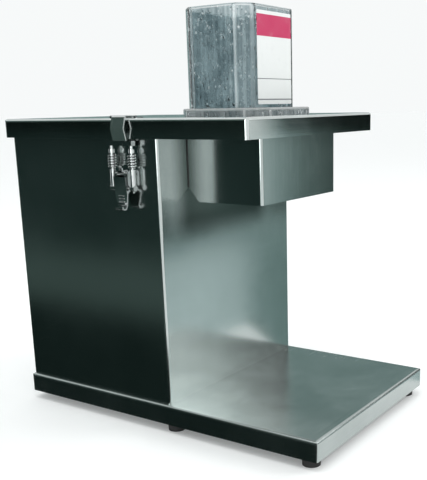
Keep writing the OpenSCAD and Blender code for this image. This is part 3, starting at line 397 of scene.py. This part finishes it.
# Cabinet and its rear panel
# A folded box of brushed stainless sheet, bolted to the tray; a louvred panel closes its rear window.
# A dark patch is painted on its front round the chute, as painted shade and a painted dark reflection there.
# Painted shade: inside this patch the steel's colour is mixed towards a dark tone that stands in for shade
# and a dark reflection.
SHADE_PATCH_X, SHADE_PATCH_Z = -13 * MM, 279 * MM
SHADE_PATCH_REACH = Vector((62, 4, 44)) * MM
SHADE_PATCH_FADE = Vector((34, 4, 34)) * MM
SHADE_PATCH_COLOR = (0.10, 0.13, 0.12, 1)
cabinet_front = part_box("cabinet_shell")[0].y
shade_patch_middle = Vector((SHADE_PATCH_X, cabinet_front, SHADE_PATCH_Z))
cabinet_steel = brushed_metal("cabinet_steel", dark=(0.47, 0.51, 0.50, 1), light=(0.55, 0.59, 0.58, 1),
                              polished=0.14, dull=0.20, wall_lines=LEVEL_BRUSH, level_lines=TOP_BRUSH)
parts, link = cabinet_steel.node_tree.nodes, cabinet_steel.node_tree.links.new
shade_patch_spot = node(parts, "VectorMath", operation="SUBTRACT")
shade_patch_spot.inputs[1].default_value = shade_patch_middle
link(parts.new("ShaderNodeTexCoord").outputs["Object"], shade_patch_spot.inputs[0])
shade_patch_axes = parts.new("ShaderNodeSeparateXYZ")
link(shade_patch_spot.outputs[0], shade_patch_axes.inputs[0])
shares = []
for axis_out, reach, fade in zip(shade_patch_axes.outputs, SHADE_PATCH_REACH, SHADE_PATCH_FADE):
    away = node(parts, "Math", operation="ABSOLUTE")
    link(axis_out, away.inputs[0])
    shares.append(spread(parts, link, away.outputs[0], reach, reach + fade, 1.0, 0.0, "SMOOTHSTEP"))
shade_patch = combine(parts, link, "MULTIPLY", combine(parts, link, "MULTIPLY", shares[0], shares[1]), shares[2])
steel_color = next(n for n in parts if n.type == "GROUP").outputs["Color"]
shader = parts["Principled BSDF"]
# This mix paints the shade patch onto the steel's own colour.
link(color_mix(parts, link, shade_patch, steel_color, SHADE_PATCH_COLOR), shader.inputs["Base Color"])
dress(cabinet_steel, "cabinet_shell", "cabinet_back", "rear_panel", "deck_plate", "chamber_ring")


# Louvre hoods
# Each slot of the rear panel has a pressed hood over it, a quarter of a long lens that opens downwards.
HOOD_XS = (-42.5 * MM, 42.5 * MM)
HOOD_ROWS = 7
HOOD_PITCH = 14 * MM
HOOD_HALF = Vector((27, 4.5, 5.2)) * MM
HOOD_SHEET = 0.7 * MM
HOOD_DROP = 2.4 * MM


def verts_of(geom):
    """The vertices in what a bmesh operator returned."""
    return [v for v in geom if isinstance(v, bmesh.types.BMVert)]


def whole(bm):
    """All vertices, edges and faces of a bmesh."""
    return bm.verts[:] + bm.edges[:] + bm.faces[:]


def spread_copies(bm, places):
    """Sets copies of everything in a bmesh at the given places and drops the first one."""
    pattern = whole(bm)
    first = bm.verts[:]
    for place in places:
        copy = bmesh.ops.duplicate(bm, geom=pattern)["geom"]
        bmesh.ops.translate(bm, vec=place, verts=verts_of(copy))
    bmesh.ops.delete(bm, geom=first, context="VERTS")


panel_low, panel_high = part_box("rear_panel")
hood_rows = [(panel_low.z + panel_high.z) / 2 - HOOD_DROP + (k - (HOOD_ROWS - 1) / 2) * HOOD_PITCH
             for k in range(HOOD_ROWS)]
bm = bmesh.new()
bmesh.ops.create_uvsphere(bm, u_segments=32, v_segments=16, radius=1)
bmesh.ops.scale(bm, vec=HOOD_HALF, verts=bm.verts[:])
for cut_away in ((0, -1, 0), (0, 0, -1)):
    bmesh.ops.bisect_plane(bm, geom=whole(bm), plane_co=(0, 0, 0), plane_no=cut_away, clear_outer=True)
bmesh.ops.recalc_face_normals(bm, faces=bm.faces[:])
bmesh.ops.solidify(bm, geom=bm.faces[:], thickness=HOOD_SHEET)
spread_copies(bm, [(x, panel_high.y, z) for x in HOOD_XS for z in hood_rows])
hoods = put_in_scene("louvre_hoods", bm, cabinet_steel)
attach(hoods, "frame")


# Panel screws
# Six button heads with hexagon sockets, turned from stainless bar, that hold the rear panel.
HEAD_PROFILE = [(2.3 * MM, 2.4 * MM), (3.2 * MM, 1.7 * MM), (3.6 * MM, 0.0)]
SOCKET_RADIUS = 1.6 * MM
SOCKET_DEPTH = 1.3 * MM
SHANK_INSET = 1.6 * MM
SHANK_LENGTH = 6.7 * MM


def edges_of(geom):
    """The edges in what a bmesh operator returned."""
    return [e for e in geom if isinstance(e, bmesh.types.BMEdge)]


def socket_screw(bm):
    """Button-head screw along +Z with its head on the origin."""
    outline = [bm.verts.new((r, 0, z)) for r, z in HEAD_PROFILE]
    edges = [bm.edges.new(pair) for pair in zip(outline, outline[1:])]
    bmesh.ops.spin(bm, geom=outline + edges, cent=(0, 0, 0), axis=(0, 0, 1), angle=2 * math.pi, steps=24,
                   use_merge=True)
    head_top = HEAD_PROFILE[0][1]
    brim = [e for e in bm.edges if e.is_boundary and e.verts[0].co.z + e.verts[1].co.z > head_top]
    hexagon = bmesh.ops.create_circle(bm, segments=6, radius=SOCKET_RADIUS,
                                      matrix=Matrix.Translation((0, 0, head_top)))["verts"]
    mouth = list({e for v in hexagon for e in v.link_edges})
    bmesh.ops.bridge_loops(bm, edges=brim + mouth)
    sunk = bmesh.ops.extrude_edge_only(bm, edges=mouth)["geom"]
    bmesh.ops.translate(bm, verts=verts_of(sunk), vec=(0, 0, -SOCKET_DEPTH))
    bmesh.ops.contextual_create(bm, geom=[e for e in edges_of(sunk) if e.is_boundary])
    under = bmesh.ops.contextual_create(bm, geom=[e for e in bm.edges if e.is_boundary])["faces"]
    bmesh.ops.inset_region(bm, faces=under, thickness=SHANK_INSET)
    shank = bmesh.ops.extrude_face_region(bm, geom=under)["geom"]
    bmesh.ops.delete(bm, geom=under, context="FACES_ONLY")
    bmesh.ops.translate(bm, verts=verts_of(shank), vec=(0, 0, -SHANK_LENGTH))
    bmesh.ops.recalc_face_normals(bm, faces=bm.faces[:])


screw_low, screw_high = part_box("panel_screws")
head_reach = HEAD_PROFILE[-1][0]
screw_xs = (screw_low.x + head_reach, screw_high.x - head_reach)
screw_zs = (screw_low.z + head_reach, (screw_low.z + screw_high.z) / 2, screw_high.z - head_reach)
bm = bmesh.new()
socket_screw(bm)
bmesh.ops.rotate(bm, cent=(0, 0, 0), matrix=Matrix.Rotation(-math.pi / 2, 3, "X"), verts=bm.verts[:])
spread_copies(bm, [(x, panel_high.y, z) for x in screw_xs for z in screw_zs])
heads = put_in_scene("panel_socket_screws", bm, screw_steel)
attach(heads, "frame")
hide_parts("panel_screws")


# Drive inside the cabinet
# Motor, belt and pulleys turn the spindle in its flanged housing.
# The castings are painted or bare, and the shafts are turned.
turned_steel = brushed_metal("turned_steel", dark=(0.40, 0.41, 0.42, 1), light=(0.56, 0.57, 0.58, 1),
                             polished=0.22, dull=0.40, wall_lines=(60, 60, 900))
dress(turned_steel, "spindle", "motor_shaft", "bearings", "motor_plate")
casting = brushed_metal("bare_casting", dark=(0.10, 0.10, 0.11, 1), light=(0.20, 0.20, 0.21, 1),
                        polished=0.45, dull=0.70, wall_lines=(180, 180, 180), metallic=0.9, grain=0.4)
dress(casting, "bearing_housing", "driven_pulley", "drive_pulley")
motor_paint = brushed_metal("motor_paint", dark=(0.16, 0.20, 0.22, 1), light=(0.21, 0.26, 0.28, 1),
                            polished=0.35, dull=0.50, wall_lines=(240, 240, 240), metallic=0.0, grain=0.25)
dress(motor_paint, "motor_body")


# Cutting set
# Ground stainless disc and blade over a grid of crossed knives in a bar frame.
# The disc turns on the spindle, and the grid stands still under it.
cutting_steel = brushed_metal("cutting_steel", dark=(0.50, 0.52, 0.53, 1), light=(0.66, 0.68, 0.69, 1),
                              polished=0.16, dull=0.30, wall_lines=(300, 300, 900), level_lines=(500, 60, 60))
dress(cutting_steel, "grid_frame", "grid_knives_along", "grid_knives_across", "slicing_disc", "slicing_blade",
      "disc_nut")


# Chute
# One sheet folded round three sides and screwed under the deck; the brushing runs upright on it.
UPRIGHT_BRUSH = (500, 500, 5)
chute_steel = brushed_metal("chute_steel", dark=(0.46, 0.51, 0.50, 1), light=(0.55, 0.60, 0.59, 1),
                            polished=0.13, dull=0.18, wall_lines=UPRIGHT_BRUSH, level_lines=TOP_BRUSH)
dress(chute_steel, "discharge_chute")


# Chute shadow beads
# A dark rubber bead fills the corner between each side of the chute and the cabinet, as a painted shadow in
# the gap there.
# It ends above the chute's cut-away lower corner.
SHADOW_BEAD_RADIUS = 1.1 * MM
SHADOW_BEAD_FOOT = 15.5 * MM
chute_low, chute_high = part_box("discharge_chute")


def raise_faces(bm, faces, height):
    """Extrudes faces upward."""
    made = bmesh.ops.extrude_face_region(bm, geom=faces)["geom"]
    bmesh.ops.translate(bm, verts=verts_of(made), vec=(0, 0, height))


# Each bead is painted shadow: a dark strip put where the chute's rear edge meets the cabinet.
bm = bmesh.new()
for x in (chute_low.x, chute_high.x):
    foot = Vector((x, chute_high.y, chute_low.z + SHADOW_BEAD_FOOT))
    ring = bmesh.ops.create_circle(bm, cap_ends=True, segments=12, radius=SHADOW_BEAD_RADIUS,
                                   matrix=Matrix.Translation(foot))["verts"]
    raise_faces(bm, list({f for v in ring for f in v.link_faces}), chute_high.z - foot.z)
bmesh.ops.recalc_face_normals(bm, faces=bm.faces[:])
shadow_beads = put_in_scene("chute_shadow_beads", bm, rubber)
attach(shadow_beads, "frame")


# Cover
# A shallow pan of brushed stainless sheet, bent and welded at its corners, hinged at the rear.
cover_steel = brushed_metal("cover_steel", dark=(0.54, 0.58, 0.57, 1), light=(0.66, 0.70, 0.69, 1),
                            polished=0.10, dull=0.15, wall_lines=LEVEL_BRUSH, level_lines=TOP_BRUSH)
dress(cover_steel, "cover_pan")


# Hopper
# A clear octagonal tube of thick plastic, cemented into a clear flange on the cover.
# Both are scuffed by use; their corners and rims are painted white as rubbing and as a painted highlight, and
# their tint is painted darker towards the foot as painted shade.
HOPPER_WALL = 4.5 * MM
HOPPER_CUT = 15 * MM
HOPPER_BEND = 4.1 * MM
RIM_ROUND = 1.2 * MM
FLANGE_CUT = 20 * MM
FLANGE_ROUND = 1.5 * MM
FLANGE_FIT = 0.1 * MM
# Corners and rims under this mark are painted white, as rubbing and as a painted highlight along the bends
# and the rim.
RUB_AND_SHEEN = "rub_and_sheen"
RUB_AND_SHEEN_COLOR = (0.97, 1, 1, 1)
SHORT_EDGE = 1.2 * MM
RIM_FADE = 1.6 * MM
RUN_STRETCH = (260, 260, 9)
NICK_STRETCH = (1, 1, 0.6)
HAZE_SHARE = 0.45
# The tint is painted paler towards the top and darker towards the foot, as painted shade.
SHADE_LIFT_LOW, SHADE_LIFT_HIGH = 0.01, 0.04


def foot_and_size(name):
    """The middle of a CAD node's lowest level, and the node's three sizes."""
    low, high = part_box(name)
    return Vector(((low.x + high.x) / 2, (low.y + high.y) / 2, low.z)), high - low


hopper_foot, hopper_size = foot_and_size("hopper_tube")
hopper_top = hopper_foot.z + hopper_size.z
flange_foot, flange_size = foot_and_size("hopper_flange")
flange_top = flange_foot.z + flange_size.z


def octagon(bm, middle, size, cut, bend):
    """Flat octagon whose corners are rounded by a vertex bevel; returns its face."""
    w, d = size[0] / 2, size[1] / 2
    ring = [(w, d - cut), (w - cut, d), (cut - w, d), (-w, d - cut),
            (-w, cut - d), (cut - w, -d), (w - cut, -d), (w, cut - d)]
    corners = [bm.verts.new(middle + Vector((x, y, 0))) for x, y in ring]
    bm.faces.new(corners)
    bmesh.ops.bevel(bm, geom=corners, affect="VERTICES", offset=bend, segments=6, profile=0.5, material=-1)
    bm.faces.ensure_lookup_table()
    return bm.faces[-1]


def round_level_edges(bm, height, offset):
    """Rounds the sharp edges that lie level at this height."""
    edges = [e for e in bm.edges if e.is_manifold and e.calc_face_angle(0) > math.radians(60)
             and all(abs(v.co.z - height) < 1e-5 for v in e.verts)]
    bmesh.ops.bevel(bm, geom=edges, affect="EDGES", offset=offset, segments=3, profile=0.5, material=-1)


def scuffed_plastic(name, deep, pale, clear, dull, transmission):
    """Clear plastic with upright runs, painted shade that darkens it towards the hopper's foot, small white
    nicks, and corners and rims painted white as rubbing and as a painted highlight.
    """
    material, parts, link, shader = plain_material(name, pale, clear)
    shader.inputs["Transmission Weight"].default_value = transmission
    shader.inputs["IOR"].default_value = 1.5
    spot = parts.new("ShaderNodeTexCoord").outputs["Object"]
    stretch = node(parts, "Mapping", scale=RUN_STRETCH)
    link(spot, stretch.inputs["Vector"])
    runs = node(parts, "TexNoise", scale=1.0, detail=5.0, roughness=0.65)
    link(stretch.outputs[0], runs.inputs["Vector"])
    haze = node(parts, "TexNoise", scale=34.0, detail=6.0, roughness=0.7)
    link(spot, haze.inputs["Vector"])
    height = parts.new("ShaderNodeSeparateXYZ")
    link(spot, height.inputs[0])
    # Painted shade: the tint pales upwards and darkens towards the hopper's foot.
    painted_shade_lift = spread(parts, link, height.outputs[2], hopper_foot.z, hopper_top, SHADE_LIFT_LOW, SHADE_LIFT_HIGH)
    streaks = color_mix(parts, link, HAZE_SHARE, runs.outputs[0], haze.outputs[0])
    paleness = spread(parts, link, combine(parts, link, "ADD", streaks, painted_shade_lift), 0.40, 0.64, 0.0, 1.0)
    squeeze = node(parts, "Mapping", scale=NICK_STRETCH)
    link(spot, squeeze.inputs["Vector"])
    nicks = node(parts, "TexVoronoi", scale=240.0)
    link(squeeze.outputs[0], nicks.inputs["Vector"])
    patches = node(parts, "TexNoise", scale=60.0, detail=3.0)
    link(spot, patches.inputs["Vector"])
    nick = combine(parts, link, "MULTIPLY",
                   spread(parts, link, nicks.outputs["Distance"], 0.12, 0.34, 1.0, 0.0),
                   spread(parts, link, patches.outputs[0], 0.43, 0.57, 0.0, 1.0))
    # The rub-and-sheen mark paints corners and rims white, as rubbing and as a painted highlight.
    rub_and_sheen_mark = node(parts, "Attribute", attribute_name=RUB_AND_SHEEN)
    white = combine(parts, link, "MAXIMUM", nick, rub_and_sheen_mark.outputs["Fac"])
    tinted = color_mix(parts, link, paleness, deep, pale)
    link(color_mix(parts, link, white, tinted, RUB_AND_SHEEN_COLOR), shader.inputs["Base Color"])
    link(spread(parts, link, white, 0.0, 1.0, clear, dull), shader.inputs["Roughness"])
    bump = node(parts, "Bump", strength=0.45, distance=0.0012)
    link(white, bump.inputs["Height"])
    link(bump.outputs[0], shader.inputs["Normal"])
    return material


def mark_rub_and_sheen(bm, rim_end):
    """Marks the vertices of short edges, which only rounded corners and rims have, down to a level cut; the
    mark paints them white as rubbing and as a painted highlight.
    """
    bmesh.ops.bisect_plane(bm, geom=whole(bm), plane_co=(0, 0, rim_end), plane_no=(0, 0, 1))
    rub_and_sheen = bm.verts.layers.float.new(RUB_AND_SHEEN)
    for vert in bm.verts:
        short = [e for e in vert.link_edges if e.calc_length() < SHORT_EDGE]
        vert[rub_and_sheen] = float(len(short) >= 2)


clear_plastic = scuffed_plastic("clear_plastic", deep=(0.17, 0.23, 0.25, 1), pale=(0.56, 0.65, 0.67, 1),
                                clear=0.04, dull=0.30, transmission=1.0)
bm = bmesh.new()
raise_faces(bm, [octagon(bm, hopper_foot, hopper_size, HOPPER_CUT, HOPPER_BEND)], hopper_size.z)
bmesh.ops.delete(bm, geom=[f for f in bm.faces if abs(f.normal.z) > 0.9], context="FACES_ONLY")
bmesh.ops.recalc_face_normals(bm, faces=bm.faces[:])
bmesh.ops.solidify(bm, geom=bm.faces[:], thickness=HOPPER_WALL)
bmesh.ops.recalc_face_normals(bm, faces=bm.faces[:])
round_level_edges(bm, hopper_top, RIM_ROUND)
mark_rub_and_sheen(bm, hopper_top - RIM_ROUND - RIM_FADE)
tube = put_in_scene("hopper_clear_tube", bm, clear_plastic)
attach(tube, "cover")
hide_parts("hopper_tube")

hazy_plastic = scuffed_plastic("hazy_plastic", deep=(0.22, 0.28, 0.30, 1), pale=(0.74, 0.79, 0.80, 1),
                               clear=0.18, dull=0.45, transmission=0.65)
bm = bmesh.new()
hole = octagon(bm, hopper_foot, [side + 2 * FLANGE_FIT for side in hopper_size], HOPPER_CUT, HOPPER_BEND)
plate = octagon(bm, flange_foot, flange_size, FLANGE_CUT, FLANGE_ROUND)
loops = hole.edges[:] + plate.edges[:]
bmesh.ops.delete(bm, geom=bm.faces[:], context="FACES_ONLY")
bmesh.ops.bridge_loops(bm, edges=loops)
raise_faces(bm, bm.faces[:], flange_size.z)
bmesh.ops.recalc_face_normals(bm, faces=bm.faces[:])
round_level_edges(bm, flange_top, FLANGE_ROUND)
mark_rub_and_sheen(bm, flange_top - FLANGE_ROUND - RIM_FADE)
collar = put_in_scene("hopper_clear_flange", bm, hazy_plastic)
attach(collar, "cover")
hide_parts("hopper_flange")


# Blank panel on the hopper
# A white vinyl panel stuck to the hopper's front face, with a plain red band and two thin rules.
# It bears no words.
PANEL_HALF_WIDTH = 33.5 * MM
PANEL_OVER_FOOT = 11.5 * MM
PANEL_UNDER_RIM = 6 * MM
PANEL_THICK = 0.3 * MM
PANEL_CORNER = 1.6 * MM
VINYL, BAND, RULE = (0.82, 0.84, 0.83, 1), (0.56, 0.035, 0.12, 1), (0.10, 0.11, 0.12, 1)
WORN_VINYL = (0.62, 0.64, 0.64, 1)
STRIPES = [(0.0, VINYL), (0.045, RULE), (0.055, VINYL), (0.27, RULE), (0.28, VINYL), (0.73, BAND),
           (0.96, VINYL)]
panel_face = hopper_foot.y - hopper_size.y / 2
panel_foot = hopper_foot.z + PANEL_OVER_FOOT
panel_head = hopper_top - PANEL_UNDER_RIM
vinyl, parts, link, shader = plain_material("panel_vinyl", VINYL, 0.35)
height = parts.new("ShaderNodeSeparateXYZ")
spot = parts.new("ShaderNodeTexCoord").outputs["Object"]
link(spot, height.inputs[0])
up_panel = spread(parts, link, height.outputs[2], panel_foot, panel_head, 0.0, 1.0)
printed = color_bands(parts, link, up_panel, "CONSTANT", STRIPES)
wear = node(parts, "TexNoise", scale=60.0, detail=5.0, roughness=0.7)
link(spot, wear.inputs["Vector"])
worn = spread(parts, link, wear.outputs[0], 0.55, 0.8, 0.0, 0.25)
link(color_mix(parts, link, worn, printed, WORN_VINYL), shader.inputs["Base Color"])
link(spread(parts, link, wear.outputs[0], 0.35, 0.7, 0.28, 0.5), shader.inputs["Roughness"])
bm = bmesh.new()
corners = [bm.verts.new((x * PANEL_HALF_WIDTH, panel_face, panel_foot if z < 0 else panel_head))
           for x, z in SQUARE]
bm.faces.new(corners)
bmesh.ops.bevel(bm, geom=corners, affect="VERTICES", offset=PANEL_CORNER, segments=4, profile=0.5,
                material=-1)
made = bmesh.ops.extrude_face_region(bm, geom=bm.faces[:])["geom"]
bmesh.ops.translate(bm, verts=verts_of(made), vec=(0, -PANEL_THICK, 0))
bmesh.ops.recalc_face_normals(bm, faces=bm.faces[:])
panel = put_in_scene("hopper_blank_panel", bm, vinyl)
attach(panel, "cover")


# Hinges and keepers
# Polished stainless leaves, pins and keeper plates, welded or screwed to the cover and the cabinet.
polished_steel = brushed_metal("polished_steel", dark=(0.50, 0.52, 0.52, 1), light=(0.68, 0.70, 0.70, 1),
                               polished=0.08, dull=0.20, wall_lines=(60, 60, 60), grain=0.03)
dress(polished_steel, "keeper_left", "keeper_right", "hinge_cover_leaves", "hinge_cabinet_leaves",
      "hinge_pins")


# Toggle latches
# Pressed stainless lever with a ribbed grip, bent hook and two coil springs on rods.
# One is fixed to each side of the cabinet.
SPRING_X = 132.5 * MM
SPRING_YS = (4.5 * MM, 32.5 * MM)
SPRING_FOOT = 290 * MM
SPRING_LENGTH = 16 * MM
SPRING_RADIUS = 3.6 * MM
WIRE_RADIUS = 1.15 * MM
SPRING_TURNS = 5
STEPS_PER_TURN = 20
RIB_HALF = Vector((0.6, 4.2, 0.7)) * MM
RIB_Y = 18.5 * MM
RIB_ZS = [z * MM for z in (253, 256, 259, 262)]
GRIP_FOOT = 251 * MM
GRIP_OUT = 135.5 * MM
GRIP_SLOPE = 3 / 31
dress(polished_steel, "latch_base_left", "latch_lever_left", "latch_hook_left", "latch_base_right",
      "latch_lever_right", "latch_hook_right")
spring_steel = brushed_metal("spring_steel", dark=(0.50, 0.52, 0.52, 1), light=(0.66, 0.68, 0.68, 1),
                             polished=0.12, dull=0.26, wall_lines=(200, 200, 200), grain=0.05)
spring_steps = SPRING_TURNS * STEPS_PER_TURN
spring_rise = (SPRING_LENGTH - 2 * WIRE_RADIUS) / spring_steps
for side, across in (("left", -1), ("right", 1)):
    bm = bmesh.new()
    for y in SPRING_YS:
        middle = Vector((across * SPRING_X, y, SPRING_FOOT + WIRE_RADIUS))
        wire = bmesh.ops.create_circle(bm, cap_ends=True, segments=8, radius=WIRE_RADIUS,
                                       matrix=Matrix.Translation(middle + Vector((SPRING_RADIUS, 0, 0)))
                                       @ Matrix.Rotation(math.pi / 2, 4, "X"))["verts"]
        faces = list({f for v in wire for f in v.link_faces})
        bmesh.ops.spin(bm, geom=faces, cent=middle, axis=(0, 0, 1), dvec=(0, 0, spring_rise),
                       angle=2 * math.pi * SPRING_TURNS, steps=spring_steps)
    bmesh.ops.recalc_face_normals(bm, faces=bm.faces[:])
    springs = put_in_scene("coil_springs_" + side, bm, spring_steel, 60)
    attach(springs, "hook_" + side)
    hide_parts("latch_springs_" + side)

    bm = bmesh.new()
    bmesh.ops.create_uvsphere(bm, u_segments=16, v_segments=10, radius=1)
    bmesh.ops.scale(bm, vec=RIB_HALF, verts=bm.verts[:])
    spread_copies(bm, [(across * (GRIP_OUT + GRIP_SLOPE * (z - GRIP_FOOT)), RIB_Y, z) for z in RIB_ZS])
    ribs = put_in_scene("lever_ribs_" + side, bm, polished_steel, 60)
    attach(ribs, "lever_" + side)


# Switch and cable gland
# Moulded black bezel with a red rocker on the right wall, and a black gland in the rear wall.
# The rocker has the usual bar and ring in white on its two halves.
MARK_RISE = 0.12 * MM
BAR_HALF = (0.5 * MM, 2.4 * MM)
RING_RADII = (2.4 * MM, 1.6 * MM)
black_plastic = brushed_metal("moulded_black", dark=(0.014, 0.014, 0.015, 1), light=(0.030, 0.030, 0.031, 1),
                              polished=0.38, dull=0.55, wall_lines=(900, 900, 900), metallic=0.0, grain=0.08)
dress(black_plastic, "switch_bezel", "cable_gland")
red_plastic = brushed_metal("moulded_red", dark=(0.36, 0.012, 0.010, 1), light=(0.46, 0.020, 0.016, 1),
                            polished=0.22, dull=0.36, wall_lines=(700, 700, 700), metallic=0.0, grain=0.04)
dress(red_plastic, "switch_rocker")
mark_paint = brushed_metal("mark_paint", dark=(0.62, 0.62, 0.60, 1), light=(0.78, 0.78, 0.76, 1),
                           polished=0.40, dull=0.60, wall_lines=(600, 600, 600), metallic=0.0, grain=0.02)
rocker_faces = [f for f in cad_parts["switch_rocker"].data.polygons if f.normal.x > 0.8]
rocker_low, rocker_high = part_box("switch_rocker")
rocker_middle = (rocker_low.z + rocker_high.z) / 2
bm = bmesh.new()
for upper in (True, False):
    faces = [f for f in rocker_faces if (f.center.z > rocker_middle) == upper]
    area = sum(f.area for f in faces)
    place = sum((f.center * f.area for f in faces), Vector()) / area
    normal = sum((f.normal * f.area for f in faces), Vector()).normalized()
    seat = Matrix.Translation(place) @ normal.to_track_quat("Z", "Y").to_matrix().to_4x4()
    if upper:
        sheet = [bm.faces.new([bm.verts.new((x * BAR_HALF[0], y * BAR_HALF[1], 0)) for x, y in SQUARE])]
    else:
        loops = []
        for radius in RING_RADII:
            mark = bmesh.ops.create_circle(bm, segments=32, radius=radius)["verts"]
            loops += list({e for v in mark for e in v.link_edges})
        sheet = bmesh.ops.bridge_loops(bm, edges=loops)["faces"]
    flat = list({v for f in sheet for v in f.verts})
    raised = verts_of(bmesh.ops.extrude_face_region(bm, geom=sheet)["geom"])
    bmesh.ops.translate(bm, verts=raised, vec=(0, 0, MARK_RISE))
    bmesh.ops.transform(bm, matrix=seat, verts=flat + raised)
bmesh.ops.recalc_face_normals(bm, faces=bm.faces[:])
marks = put_in_scene("rocker_marks", bm, mark_paint)
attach(marks, "rocker")
